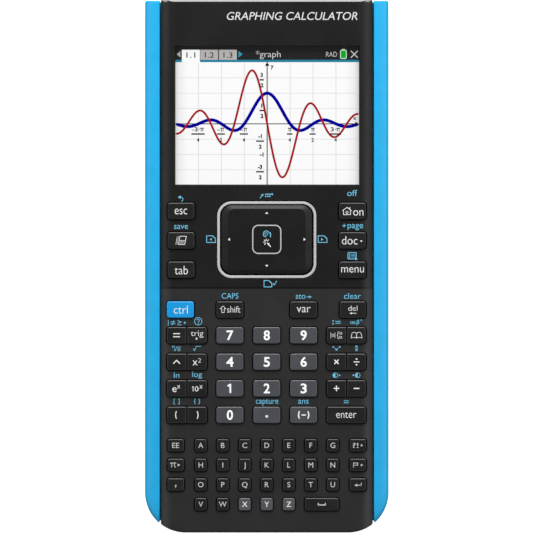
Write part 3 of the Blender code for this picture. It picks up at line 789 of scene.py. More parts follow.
def touchpad_openings():
    """Cutters for the touchpad's hole through the face and for the rebate that holds its ring."""
    size, centre = footprint("touchpad_ring")
    hole = prism(rounded_rectangle(size.x - 2.3, size.y - 2.3, 4.0, 12, centre), 12.0, 16.0)
    vertices, faces = opening(size.x + 0.3, size.y + 0.3, (5.25,) * 4, centre, 12)
    floor = box_mm("touchpad_ring")[0].z - 0.3
    return hole, ([(x, y, max(z, floor)) for x, y, z in vertices], faces)


def section_groove():
    """A cutter for the groove across the face, which follows its curve."""
    half, above = SEAM_HALF_WIDTH, 0.02
    section = [(SECTION_GROOVE_Y - half, above), (SECTION_GROOVE_Y - half + 0.06, -SEAM_DEPTH)]
    section += [(SECTION_GROOVE_Y + half - 0.06, -SEAM_DEPTH), (SECTION_GROOVE_Y + half, above)]
    return rings_to_mesh([[(x, y, face_height(x) + z) for y, z in section] for x in range(38, -39, -1)])


def build_front_case(caps):
    half_width = FACE_HALF_WIDTH - FACE_INSET
    rings = [at_height(shell_outline(half_width, 0.0), FACE_LOW.z)]
    for inset, drop in ((0.0, 0.6), (0.02, 0.43), (0.06, 0.35), (0.6, 0.05), (0.65, 0.02), (0.74, 0.0)):
        rings.append(at_height(shell_outline(half_width, inset), FACE_Z - drop))
    case = mesh_object("front_shell", *rings_to_mesh(rings), face_plastic(), 0)
    fall = side_profile(FLAT_HALF_WIDTH, FACE_FALL)
    right = [(x, FACE_Z - drop) for x, drop in fall] + [(FACE_HALF_WIDTH + 1, FACE_Z - 2), (40.0, 0.0)]
    cut(case, "INTERSECT", [along_body([(-x, z) for x, z in reversed(right)] + right)])
    cut(case, "DIFFERENCE", [prism(shell_outline(FACE_HALF_WIDTH - WALL, WALL), 0.0, FACE_UNDERSIDE_Z)])
    cut(case, "DIFFERENCE", face_openings(caps))
    hole, rebate = touchpad_openings()
    cut(case, "DIFFERENCE", [display_opening(), hole])
    for cutter in (rebate, section_groove(), socket_cutout()):
        cut(case, "DIFFERENCE", [cutter])
    soften(case)
    return piece(case, "root", "face_plastic", "front_case")


def socket_cutout():
    low, high = box_mm("usb_socket")
    return box((low.x - 0.35, 90.0, low.z - 0.3), (high.x + 0.35, 96.0, high.z + 0.3))


def build_rear_case():
    """The back shell: the battery cover's recess, counterbores, a plain sunk panel and the reset hole."""
    top, back = REAR_SPLIT_Z, BACK_Z
    rings = []
    for inset, drop in reversed(quarter_round(2.6, 10)):
        rings.append(at_height(shell_outline(FACE_HALF_WIDTH, inset), back + drop))
    rings.append(at_height(shell_outline(FACE_HALF_WIDTH, 0.0), top))
    case = mesh_object("rear_shell", *rings_to_mesh(rings), BACK_PLASTIC, 0)
    right = [(FACE_HALF_WIDTH + 2, FACE_Z), (FACE_HALF_WIDTH + 1, back + 2.4)]
    right += [(x, back + rise) for x, rise in reversed(side_profile(BACK_FLAT_HALF_WIDTH, BACK_RISE))]
    cut(case, "INTERSECT", [along_body(right + [(-x, z) for x, z in reversed(right)])])
    cut(case, "DIFFERENCE", [prism(shell_outline(FACE_HALF_WIDTH - WALL, WALL), back + 1.5, FACE_Z)])
    size, middle = footprint("battery_cover")
    recess = prism(rounded_rectangle(size.x + 0.5, size.y + 0.5, 2.5, 8, middle), -1.0, back + 1.4)
    panel = prism(rounded_rectangle(50.0, 30.0, 2.0, 8, (0, 40.0)), -1.0, back + 0.25)
    bore = ((3.2, -1.0), (3.2, back - 0.01), (2.7, back + 0.45), (2.7, 2.9))
    screws = [turned(bore, *axis_of(node)) for node in ("case_screw_left", "case_screw_right")]
    pin_hole = ((1.6, -1.0), (1.6, back - 0.01), (1.3, back + 0.3), (1.3, back + 3.0))
    reset = turned(pin_hole, *axis_of("reset_button"))
    seat = (FOOT_LENGTH + 0.4, FOOT_WIDTH + 0.4, FOOT_RADIUS + 0.2, 8)
    pads = [prism(rounded_rectangle(*seat, spot), -1.0, back + 0.3) for spot in foot_spots()]
    cut(case, "DIFFERENCE", [recess, panel, *screws, reset, *pads, socket_cutout()])
    soften(case)
    return piece(case, "root", "back_plastic", "rear_case")


def foot_spots():
    return [(x, y) for x in (-26.0, 26.0) for y in (77.0, -84.0)]


def build_feet():
    """Soft pads set into the back shell, which the calculator lies on."""
    rubber = Finish("foot_rubber", 0.85, specular=0.25)
    finish = rubber.mottle((34, 34, 35), 0.1, 2.0).uneven_gloss(0.8, 0.92).grain(0.3, 0.02).material
    for index, spot in enumerate(foot_spots()):
        rings = eased_rings(FOOT_LENGTH, FOOT_WIDTH, FOOT_RADIUS, spot, reversed(quarter_round(0.35, 4)), 0.0)
        outline = rounded_rectangle(FOOT_LENGTH, FOOT_WIDTH, FOOT_RADIUS, 8, spot)
        rings.append(at_height(outline, BACK_Z + 0.3))
        piece(mesh_object(f"foot_pad_{index + 1}", *rings_to_mesh(rings), finish), "root", "membrane_rubber")


# ---------------------------------------------------------------- rails
def rail_top(depth):
    """Height of the rail's upper surface at a depth inwards from its outer edge."""
    return 10.4 + 2.6 * min(1.0, depth / RAIL_WIDTH) ** 0.24


def rail_bottom(depth):
    share = min(1.0, depth / RAIL_WIDTH)
    return 8.4 - 6.1 * math.sqrt(max(0.0, 1 - (1 - share) ** 2))


def rail_ring(centre_x, y, outward, side):
    """One closed section of a rail. outward is the heading from the corner's centre to the outer edge."""
    reach = (RAIL_INNER_X - centre_x) / math.cos(outward)
    deepest = BOTTOM_CORNER_RADIUS + RAIL_SKIN - reach
    fillet = min(0.2, deepest * 0.45)
    fillet_steps, across_steps = 5, 22
    upper, lower = [], []
    for step in range(fillet_steps):
        angle = math.pi / 2 * step / fillet_steps
        from_inner = fillet * (1 - math.cos(angle))
        drop = fillet * (1 - math.sin(angle))
        upper.append((deepest - from_inner, drop))
    for step in range(across_steps + 1):
        share = 1 - step / across_steps
        upper.append(((deepest - fillet) * share**2.6, 0.0))
        lower.append((deepest * (1 - share) ** 2.0, 0.0))
    points = [(depth, rail_top(depth) - drop) for depth, drop in upper]
    points += [(depth, rail_bottom(depth)) for depth, _ in lower]
    ring = []
    for depth, z in points:
        distance = BOTTOM_CORNER_RADIUS + RAIL_SKIN - depth
        ring.append((side * (centre_x + distance * math.cos(outward)), y - distance * math.sin(outward), z))
    return ring


def build_rail(name, side):
    """A side rail, down the straight side and round the bottom corner to a tip, and the strips inside it."""
    centre_x = BODY_WIDTH / 2 - BOTTOM_CORNER_RADIUS
    centre_y = -BODY_LENGTH / 2 + BOTTOM_CORNER_RADIUS
    tip = math.acos((RAIL_INNER_X - centre_x) / (BOTTOM_CORNER_RADIUS - 0.35))
    top_y = BODY_LENGTH / 2 - 0.15
    stations = [(top_y - below, 0.0) for below in (0.0, 0.12, 0.4, 0.8, top_y)]
    stations += [(centre_y, tip * step / 28) for step in range(29)]
    rings = [rail_ring(centre_x, y, outward, side) for y, outward in stations]
    middle_z = 8.0
    for index, size in enumerate((0.85, 0.936, 0.982)):  # the top end's edge is rounded
        ring = []
        for x, y, z in rings[index]:
            reach = RAIL_INNER_X + (abs(x) - RAIL_INNER_X) * size
            ring.append((side * reach, y, middle_z + (z - middle_z) * size))
        rings[index] = ring
    vertices, faces = rings_to_mesh(rings if side > 0 else rings[::-1])
    faces = [face[::-1] for face in faces]
    strips = []
    for inner, outer, low_y, high_y in ((-1.2, 2.0, -79.5, 93.6), (-0.3, 0.25, -90.2, -79.4)):
        low_x, high_x = sorted((side * (FACE_HALF_WIDTH + inner), side * (RAIL_INNER_X + outer)))
        strips.append(box((low_x, low_y, TONGUE_LOW), (high_x, high_y, TONGUE_HIGH)))
    rail = mesh_object(name, *merged([(vertices, faces), *strips]), RAIL_BLUE, 40.0)
    return piece(rail, "root", "blue_rail", name.replace("rail", "side_rail"))


# ---------------------------------------------------------------- keys
def cap_mesh(cap, lip=KEY_LIP, segments=8):
    """A keycap on its flange: straight walls, a softened top edge and a flat top."""
    def outline(inset, extra=0.0):
        radii = [max(radius - inset, 0.05) for radius in cap.radii]
        height = cap.height - 2 * inset + 2 * extra
        return rounded_rectangle(cap.width - 2 * inset, height, radii, segments, (cap.x, cap.y))

    flange_top = cap.base + 0.9
    rings = [at_height(outline(0.0, lip), cap.base), at_height(outline(0.0, lip), flange_top)] if lip else []
    rings.append(at_height(outline(0.0), flange_top if lip else cap.base + 0.4))
    for inset, drop in CAP_EDGE:
        rings.append(at_height(outline(inset), cap.top - drop))
    return rings_to_mesh(rings)


def build_keys(caps):
    for name in (*SINGLE_KEYS, *(name for pair in KEY_PAIRS for name in pair)):
        cap = caps[name]
        finish = GREY_KEY if name in GREY_KEYS else CTRL_BLUE if name == "ctrl" else BLACK_KEY
        slot = "grey_keys" if name in GREY_KEYS else "blue_key" if name == "ctrl" else "black_keys"
        key = mesh_object(f"cap_{name}", *cap_mesh(cap), finish)
        piece(key, cap.node, slot, cap.node)
    for row, names in enumerate(LETTER_ROWS):
        node = f"letter_keys_row_{row + 1}"
        size, base = footprint(node)[0], box_mm(node)[0].z
        web = rounded_rectangle(size.x, size.y, 0.9, 4, axis_of(node))
        strip = mesh_object(f"letter_web_{row + 1}", *prism(web, base, base + 0.9), BLACK_KEY)
        piece(strip, node, "black_keys", node)
        for name in names:
            grey = name in ("x", "y", "z")
            finish = LETTER_GREY if grey else BLACK_KEY
            cap = mesh_object(f"cap_{name}", *cap_mesh(caps[name], 0.0, 5), finish)
            piece(cap, node, "grey_keys" if grey else "black_keys")


def build_membrane(caps):
    """The rubber sheet, and a dome under each key."""
    sheet_low, sheet_high = box_mm("keypad_membrane")
    sheet_top = sheet_low.z + 1.0
    outline = [(34.6, sheet_high.y), (20.5, sheet_high.y), (20.5, -5.6), (-20.5, -5.6)]
    outline += [(-20.5, sheet_high.y), (-34.6, sheet_high.y), (-34.6, sheet_low.y), (34.6, sheet_low.y)]
    sheet = mesh_object("membrane_sheet", *prism(outline, sheet_low.z, sheet_top), MEMBRANE)
    piece(sheet, "root", "membrane_rubber", "keypad_membrane")
    groups = {}
    for cap in caps.values():
        groups.setdefault(cap.node, []).append(cap)
    profile = ((2.1, -0.1), (2.1, 0.15), (1.9, 0.5), (1.45, 0.95), (1.3, 1.05), (1.1, 1.08))
    for node, members in groups.items():
        domes = [turned([(r, sheet_top + z) for r, z in profile], cap.x, cap.y, 20) for cap in members]
        dome = mesh_object(f"domes_{node}", *merged(domes), MEMBRANE)
        piece(dome, "root", "membrane_rubber")
        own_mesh(dome)


# ---------------------------------------------------------------- touchpad
def build_touchpad_ring():
    """The silver band round the touchpad, rounded on both edges."""
    low, high = box_mm("touchpad_ring")
    size, centre = footprint("touchpad_ring")
    middle = (centre.x, centre.y - 0.14)
    height = size.y - 0.22
    edge = quarter_round(0.22, 4)
    steps = [(0.0, low.z)] + [(inset, high.z - drop) for inset, drop in edge]
    steps += [(TRIM_WIDTH - inset, high.z - drop) for inset, drop in reversed(edge)] + [(TRIM_WIDTH, low.z)]
    rings = []
    for inset, z in steps:
        radius = max(5.1 - inset, 0.5)
        outline = rounded_rectangle(size.x - 2 * inset, height - 2 * inset, radius, 14, middle)
        rings.append(at_height(outline, z))
    count = len(rings[0])
    vertices = [point for ring in rings for point in ring]
    faces = []
    for index in range(len(rings)):
        here, there = index * count, (index + 1) % len(rings) * count
        pairs = [(i, (i + 1) % count) for i in range(count)]
        faces += [(here + i, here + j, there + j, there + i) for i, j in pairs]
    piece(mesh_object("touchpad_trim", vertices, faces, SILVER), "root", "silver_trim", "touchpad_ring")


def build_touchpad_plate():
    """The touch surface with its wide bevel, hollow below and open in the middle, and its arrow marks."""
    low, high = box_mm("touchpad_plate")
    size, centre = high - low, footprint("touchpad_ring")[1]
    width, height = size.x - 2 * PAD_FLANGE, size.y - 2 * PAD_FLANGE
    flange = rounded_rectangle(size.x, size.y, 4.6, 12, centre)
    rings = [at_height(flange, low.z), at_height(flange, low.z + 0.9)]
    rings.append(at_height(rounded_rectangle(width, height, 3.7, 12, centre), low.z + 0.9))
    edge = [(inset, -PAD_BEVEL_DROP - drop) for inset, drop in quarter_round(0.12, 3)]
    rings += eased_rings(width, height, 3.7, centre, edge, high.z, 12)
    for share, drop, radius in ((0.94, 0.06, 2.5), (0.97, 0.02, 2.45), (1.0, 0.0, 2.4)):
        inset_x, inset_y = (0.12 + (inset - 0.12) * share for inset in (PAD_BEVEL_SIDE, PAD_BEVEL_END))
        outline = rounded_rectangle(width - 2 * inset_x, height - 2 * inset_y, radius, 12, centre)
        rings.append(at_height(outline, high.z - drop * PAD_BEVEL_DROP))
    pad = mesh_object("touch_surface", *rings_to_mesh(rings), PAD_PLASTIC, 0)
    hollow = rounded_rectangle(width - 3.0, height - 3.0, 2.4, 10, centre)
    hole = rounded_rectangle(SELECT_SIZE + 0.5, SELECT_SIZE + 0.5, 2.45, 10, centre)
    cut(pad, "DIFFERENCE", [prism(hollow, 0.0, high.z - 1.25)])
    cut(pad, "DIFFERENCE", [prism(hole, high.z - 2.5, high.z + 2.0)])
    soften(pad)
    piece(pad, "touchpad_plate", "touchpad_plastic", "touchpad_plate")
    marks = Ink(*centre)
    for x, y, towards in ((-13.4, 0, 180), (13.4, 0, 0), (0, 9.4, 90), (0, -9.4, 270)):
        marks.pointer(x, y, 0.7, 1.1, towards)
    layer = printed_layer("touch_marks", [marks], level(high.z), LEGEND_INK)
    piece(layer, "touchpad_plate", "touchpad_plastic")


def build_select_button():
    """The button in the touchpad's middle, on its flange, with a printed silver frame."""
    centre = footprint("touchpad_ring")[1]
    low, high = box_mm("select_button")
    flange = rounded_rectangle(12.4, 12.4, SELECT_RADIUS, 10, centre)
    rings = [at_height(flange, low.z), at_height(flange, low.z + 0.8)]
    outline = (SELECT_SIZE, SELECT_SIZE, SELECT_RADIUS)
    rings.append(at_height(rounded_rectangle(*outline, 10, centre), low.z + 0.8))
    edge = [(inset, -drop) for inset, drop in quarter_round(0.2, 4)]
    rings += eased_rings(*outline, centre, edge, high.z, 10)
    button = mesh_object("select_cap", *rings_to_mesh(rings), PAD_PLASTIC)
    piece(button, "select_button", "touchpad_plastic", "select_button")
    trim = Ink(*centre).stroke(rounded_rectangle(9.95, 9.95, 1.95, 10), 0.42, closed=True)
    piece(printed_layer("select_trim", [trim], level(high.z), SILVER, 0.03), "select_button", "silver_trim")
    build_select_icons(centre, high.z)


def build_select_icons(centre, z):
    """A grab sign, drawn as a coil beside a bar, and a click pointer with rays."""
    coil = Ink(centre[0], centre[1] + 1.9)
    coil.stroke(arc_points(-0.15, 0.0, 1.1, 20, 250, 20), 0.26)
    coil.stroke(arc_points(-0.2, 0.0, 0.5, -60, 190, 12), 0.22)
    coil.stroke([(-0.55, -0.25), (-0.25, -0.85)], 0.22)
    coil.stroke([(1.2, 0.5), (1.32, -0.35), (1.28, -1.05)], 0.38)
    piece(printed_layer("select_icon_grab", [coil], level(z), LABEL_INK), "select_button", "touchpad_plastic")
    click = Ink(centre[0] - 0.1, centre[1] - 1.0)
    arrow = [(0.1, -0.1), (1.05, -0.4), (0.95, -0.75), (1.65, -1.5), (1.35, -1.75), (0.7, -1.0), (0.5, -1.0)]
    click.shape(arrow)
    for angle in (50, 95, 135, 180, 230):
        direction = math.radians(angle)
        cosine, sine = math.cos(direction), math.sin(direction)
        click.stroke([(0.55 * cosine, 0.55 * sine), (1.1 * cosine, 1.1 * sine)], 0.26)
    layer = printed_layer("select_icon_click", [click], level(z), LEGEND_INK)
    piece(layer, "select_button", "touchpad_plastic")


# ---------------------------------------------------------------- display
DISPLAY_HALF_X, DISPLAY_HALF_Y = 32.5, 24.45
DISPLAY_SHIFT = Vector((0.15, 0.1))  # of the picture's middle from the display window's
AXIS_X, AXIS_Y = 0.0, -2.95  # the graph's origin, from the picture's middle
COLUMN = 8.12  # a quarter of pi
ROW = 5.43  # half a unit
HEADER, RULE = 4.7, 0.85  # heights of the bar along the picture's top and of the line under it
PICTURE_Z = box_mm("display_module")[1].z - 0.05
LAYER_STEP = 0.015


def graph_point(t, value):
    return (AXIS_X + t / (math.pi / 4) * COLUMN, AXIS_Y + value / 0.5 * ROW)


def sine_ratio(t):
    return 1.0 if abs(t) < 1e-6 else math.sin(4 * t) / (4 * t)


def sine_ratio_slope(t):
    u = 4 * t
    return 0.0 if abs(t) < 1e-6 else 4 * (math.cos(u) / u - math.sin(u) / u**2)


def graph_line(function, width, centre):
    edge = (DISPLAY_HALF_X - width / 2 - 0.05) / COLUMN * math.pi / 4
    steps = 240
    moments = [-edge + 2 * edge * step / steps for step in range(steps + 1)]
    return Ink(*centre).stroke([graph_point(t, function(t)) for t in moments], width)


def picture_centre():
    return tuple(footprint("display_window")[1] + DISPLAY_SHIFT)


def pi_fraction(ink, x, y, factor, below, bar):
    """A stacked fraction of pi whose bar is at (x, y), with any factor before the pi."""
    ink.block(x, y, bar, 0.5)
    room = bar - 1.9
    pi_x, foot, head = x + room / 2, y + 0.95, y + 2.05
    ink.stroke([(pi_x - 0.6, head), (pi_x + 0.6, head)], 0.28)
    for side in (-1, 1):
        ink.stroke([(pi_x + 0.3 * side, head), (pi_x + 0.3 * side, foot)], 0.26)
    if factor:
        ink.word(factor, x - 0.8, y + 1.65, 1.5, room, 0.05, CAP_BAND)
    ink.word(below, x, y - 2.1, 1.35, band=CAP_BAND, pen=0.05)


def picture_layer(name, ink, order, finish):
    """One layer of the display's picture. order is its place from the back of the stack."""
    layer = printed_layer(name, [ink], level(PICTURE_Z + order * LAYER_STEP), finish)
    piece(layer, "root", "display_panel")


def build_display():
    low, high = box_mm("display_module")
    block = prism(rounded_rectangle(70.0, 55.6, 0.8, 4, ((low + high) / 2).xy), low.z, high.z - 0.2)
    module = mesh_object("display_frame", *block, moulded("display_frame_plastic", (20, 20, 21), 0.5))
    piece(module, "root", "display_panel", "display_module")
    build_graph(picture_centre(), DISPLAY_HALF_Y - HEADER - RULE, -DISPLAY_HALF_Y)
    build_header(picture_centre(), DISPLAY_HALF_Y)
    window = frame["nodes"]["display_window"]
    window.data.materials.clear()
    window.data.materials.append(clear_window())


def build_graph(centre, graph_top, graph_bottom):
    """The picture's white ground, the grid and axes on it, and the two curves."""
    sheet = Ink(*centre).block(0, 0, 2 * DISPLAY_HALF_X, 2 * DISPLAY_HALF_Y)
    # The white ground's darker colour at its sides (216) is painted shade: the bezel's shadow on the recessed
    # picture.
    picture_layer("picture_paper", sheet, 0, lit("picture_white", (254, 254, 254), (216, 216, 216)))
    grid = Ink(*centre)
    for step in (-3, -2, -1, 1, 2, 3):
        height = graph_top - 0.3 - graph_bottom
        grid.block(AXIS_X + step * COLUMN, graph_bottom + height / 2, 0.3, height)
        grid.block(0, AXIS_Y + step * ROW, 2 * DISPLAY_HALF_X - 0.4, 0.24)
    picture_layer("picture_grid", grid, 1, lit("picture_grid_grey", (226, 226, 226)))

    axes = Ink(*centre).block(AXIS_X, (graph_top + graph_bottom) / 2, 0.5, graph_top - graph_bottom)
    picture_layer("picture_y_axis", axes, 2, lit("picture_axis_grey", (138, 138, 140)))
    line = Ink(*centre).block(0, AXIS_Y, 2 * DISPLAY_HALF_X - 0.2, 0.34)
    picture_layer("picture_x_axis", line, 3, lit("picture_line_grey", (60, 60, 60)))

    wave = graph_line(sine_ratio, 1.15, centre)
    picture_layer("picture_wave_blue", wave, 4, lit("picture_blue", (0, 0, 150)))
    slope = graph_line(sine_ratio_slope, 0.74, centre)
    picture_layer("picture_wave_red", slope, 5, lit("picture_red", (165, 20, 28)))
    picture_layer("picture_marks", graph_marks(centre, graph_top), 6, lit("picture_black", (8, 8, 8)))


def graph_marks(centre, graph_top):
    """The axes' arrowheads and names, and the fractions beside them."""
    marks = Ink(*centre)
    marks.pointer(AXIS_X, graph_top - 0.7, 1.2, 1.7, 90)
    marks.pointer(DISPLAY_HALF_X - 0.75, AXIS_Y, 1.2, 1.7, 0)
    marks.word("y", AXIS_X + 1.75, graph_top - 1.6, 1.1, pen=0.05)
    marks.word("x", DISPLAY_HALF_X - 1.5, AXIS_Y + 1.9, 1.0, pen=0.05)
    bar_y = AXIS_Y - 3.6
    for column, factor, below, bar in (
        (-3, "-3·", "4", 4.7), (-2, "-", "2", 2.8), (-1, "-", "4", 2.9),
        (1, "", "4", 2.0), (2, "", "2", 2.1), (3, "3·", "4", 3.8),
    ):
        pi_fraction(marks, AXIS_X + column * COLUMN - 0.15, bar_y, factor, below, bar)
    for row, above, bar in ((3, "3", 1.6), (1, "1", 1.6), (-1, "-1", 2.8), (-3, "-3", 2.8)):
        x = AXIS_X - 1.95 - (bar - 1.6) / 2
        y = AXIS_Y + row * ROW - 0.7
        marks.block(x, y, bar, 0.5)
        marks.word(above, x, y + 1.75, 1.5, band=CAP_BAND, pen=0.1)
        marks.word("2", x + 0.1, y - 1.95, 1.5, band=CAP_BAND, pen=0.1)
    return marks.word("-1", AXIS_X - 1.95, AXIS_Y - 2 * ROW, 1.5, band=CAP_BAND, pen=0.1)


def build_header(centre, top):
    """The bar along the top of the picture, with three page tabs, a title and a battery sign."""
    bar = Ink(*centre).block(0, top - HEADER / 2, 2 * DISPLAY_HALF_X, HEADER)
    picture_layer("picture_header", bar, 1, lit("picture_header_grey", (40, 40, 41)))
    for step, (reach, shade) in enumerate(((0.5, (24, 24, 25)), (1.2, (29, 29, 30)), (2.0, (34, 34, 35)))):
        name = f"picture_header_shade_{step}"
        strip = Ink(*centre).block(0, top - reach / 2, 2 * DISPLAY_HALF_X, reach)
        picture_layer(name, strip, 2 + step * 0.2, lit(name, shade))
    rule = Ink(*centre).block(0, top - HEADER - RULE / 2, 2 * DISPLAY_HALF_X, RULE)
    picture_layer("picture_rule", rule, 3, lit("picture_teal", (40, 130, 158)))

    tab_top, tab_bottom = top - 1.15, top - HEADER
    middle = (tab_top + tab_bottom) / 2
    active = Ink(*centre).block(-27.05, middle - RULE / 2, 6.4, tab_top - tab_bottom + RULE)
    picture_layer("picture_tab_active", active, 4, lit("picture_tab_white", (254, 255, 255)))
    others = Ink(*centre).block(-20.55, middle, 6.3, tab_top - tab_bottom)
    others.block(-13.9, middle, 6.3, tab_top - tab_bottom)
    picture_layer("picture_tabs", others, 4, lit("picture_tab_grey", (185, 182, 180)))
    numbers = Ink(*centre)
    for x, text in ((-27.05, "1.1"), (-20.5, "1.2"), (-13.9, "1.3")):
        numbers.word(text, x, middle - 0.1, 1.9, 3.2, 0.02, CAP_BAND)
    picture_layer("picture_tab_numbers", numbers, 5, lit("picture_ink", (24, 26, 28)))

    sign_y = top - 2.75
    arrows = Ink(*centre).pointer(-31.4, sign_y, 1.3, 2.3, 180)
    picture_layer("picture_back_arrow", arrows, 4, lit("picture_arrow_grey", (176, 178, 178)))
    forward = Ink(*centre).pointer(-9.45, sign_y, 1.4, 2.3, 0)
    picture_layer("picture_next_arrow", forward, 4, lit("picture_arrow_teal", (52, 160, 186)))
    title = Ink(*centre).word("*graph", 0.35, top - 3.05, 1.45, 8.8, -0.02)
    title.word("RAD", 22.8, sign_y, 1.7, 3.9, -0.03, CAP_BAND)
    for side in (-1, 1):
        title.stroke([(30.85 - side * 1.15, sign_y - 1.15), (30.85 + side * 1.15, sign_y + 1.15)], 0.3)
    picture_layer("picture_title", title, 4, lit("picture_title_white", (220, 216, 212)))
    x, y = 27.0, top - 2.65
    case = Ink(*centre).stroke(rounded_rectangle(2.05, 2.9, 0.35, 3, (x, y - 0.15)), 0.35, closed=True)
    case.block(x, y + 1.6, 1.0, 0.35)
    picture_layer("picture_battery", case, 4, lit("picture_battery_white", (190, 225, 195)))
    charge = Ink(*centre).block(x, y - 0.15, 1.6, 2.45)
    picture_layer("picture_charge", charge, 5, lit("picture_green", (22, 168, 44)))


def clear_window():
    """The clear sheet over the display, with faint unevenness in its gloss."""
    finish = Finish("window_clear", 0.06, specular=0.3)
    finish.shader.inputs["Base Color"].default_value = linear((14, 16, 18))
    finish.shader.inputs["Alpha"].default_value = 0.04
    return finish.uneven_gloss(0.05, 0.09, 0.3).material


# ---------------------------------------------------------------- legends
def home_icon(ink, x):
    """A house with a chimney and a round sign inside."""
    ink.stroke([(x - 1.6, 0.1), (x, 1.3), (x + 1.6, 0.1)], 0.2)
    ink.stroke([(x + 1.0, 0.7), (x + 1.0, 1.25)], 0.26)
    ink.stroke([(x - 1.25, 0.2), (x - 1.25, -1.3), (x + 1.25, -1.3), (x + 1.25, 0.2)], 0.2)
    ink.stroke(circle(0.4, x, -0.5, 14), 0.18, closed=True)


def notes_icon(ink):
    """Three slanted sheets, the front one with a box and two lines on it."""
    def slanted(points):
        return [(x + 0.2 * y, y) for x, y in points]

    ink.stroke(slanted([(-0.65, -1.45), (1.6, -1.45), (1.6, 1.45), (-0.65, 1.45)]), 0.2, closed=True)
    ink.stroke(slanted([(-1.15, -1.45), (-1.15, 1.4)]), 0.13)
    ink.stroke(slanted([(-1.6, -1.45), (-1.6, 1.3)]), 0.13)
    ink.stroke(slanted([(-0.4, -0.05), (1.3, -0.05)]), 0.16)
    for y in (-0.5, -0.95):
        ink.stroke(slanted([(-0.3, y), (1.2, y)]), 0.14)


def shift_icon(ink, x, y):
    """An upward block arrow in outline."""
    outline = [(0, 1.2), (1.0, 0.2), (0.45, 0.2), (0.45, -1.15), (-0.45, -1.15), (-0.45, 0.2), (-1.0, 0.2)]
    ink.stroke([(x + dx, y + dy) for dx, dy in outline], 0.17, closed=True)


def template_icon(ink):
    """Two bars with a box between them, then a brace with two boxes."""
    for x in (-2.0, -0.55):
        ink.stroke([(x, -0.95), (x, 0.95)], 0.14)
    ink.frame(-1.28, 0, 0.55, 0.8, 0.12)
    brace = [(0.8, 1.25), (0.5, 1.1), (0.5, 0.3), (0.25, 0.0), (0.5, -0.3), (0.5, -1.1), (0.8, -1.25)]
    ink.stroke(brace, 0.16)
    for y in (0.7, -0.7):
        ink.frame(1.5, y, 0.75, 0.65, 0.14)


def catalog_icon(ink):
    """An open book."""
    for side in (-1, 1):
        page = [(0, 0.5), (side * 0.4, 1.0), (side * 1.2, 1.05), (side * 1.6, 0.7), (side * 1.95, -0.95)]
        page += [(side * 1.4, -0.8), (side * 0.55, -0.75), (0, -1.0)]
        ink.stroke(page, 0.16)
    ink.stroke([(0, 0.5), (0, -0.9)], 0.2)


def flag_icon(ink, x):
    """A waving flag on its pole."""
    outline = [(-0.75, -0.9), (-0.75, 0.8), (-0.1, 0.7), (0.85, 0.7), (0.6, 0.3), (0.75, -0.1)]
    ink.stroke([(x + dx, dy) for dx, dy in outline], 0.22)
    ink.stroke([(x + 0.75, -0.1), (x - 0.1, -0.05), (x - 0.75, -0.1)], 0.22)


def paren(ink, side, reach, height, pen):
    """A bracket that bulges towards side; reach is how far out its middle is."""
    radius = 1.15 * height
    half = math.degrees(math.asin(height / 2 / radius))
    middle = 180 if side < 0 else 0
    ink.stroke(arc_points(side * (reach - radius), 0.0, radius, middle - half, middle + half, 8), pen)


def superscript_x(ink, x):
    ink.stroke([(x - 0.4, 1.1), (x + 0.4, 0.0)], 0.18)
    ink.stroke([(x - 0.4, 0.0), (x + 0.4, 1.1)], 0.18)


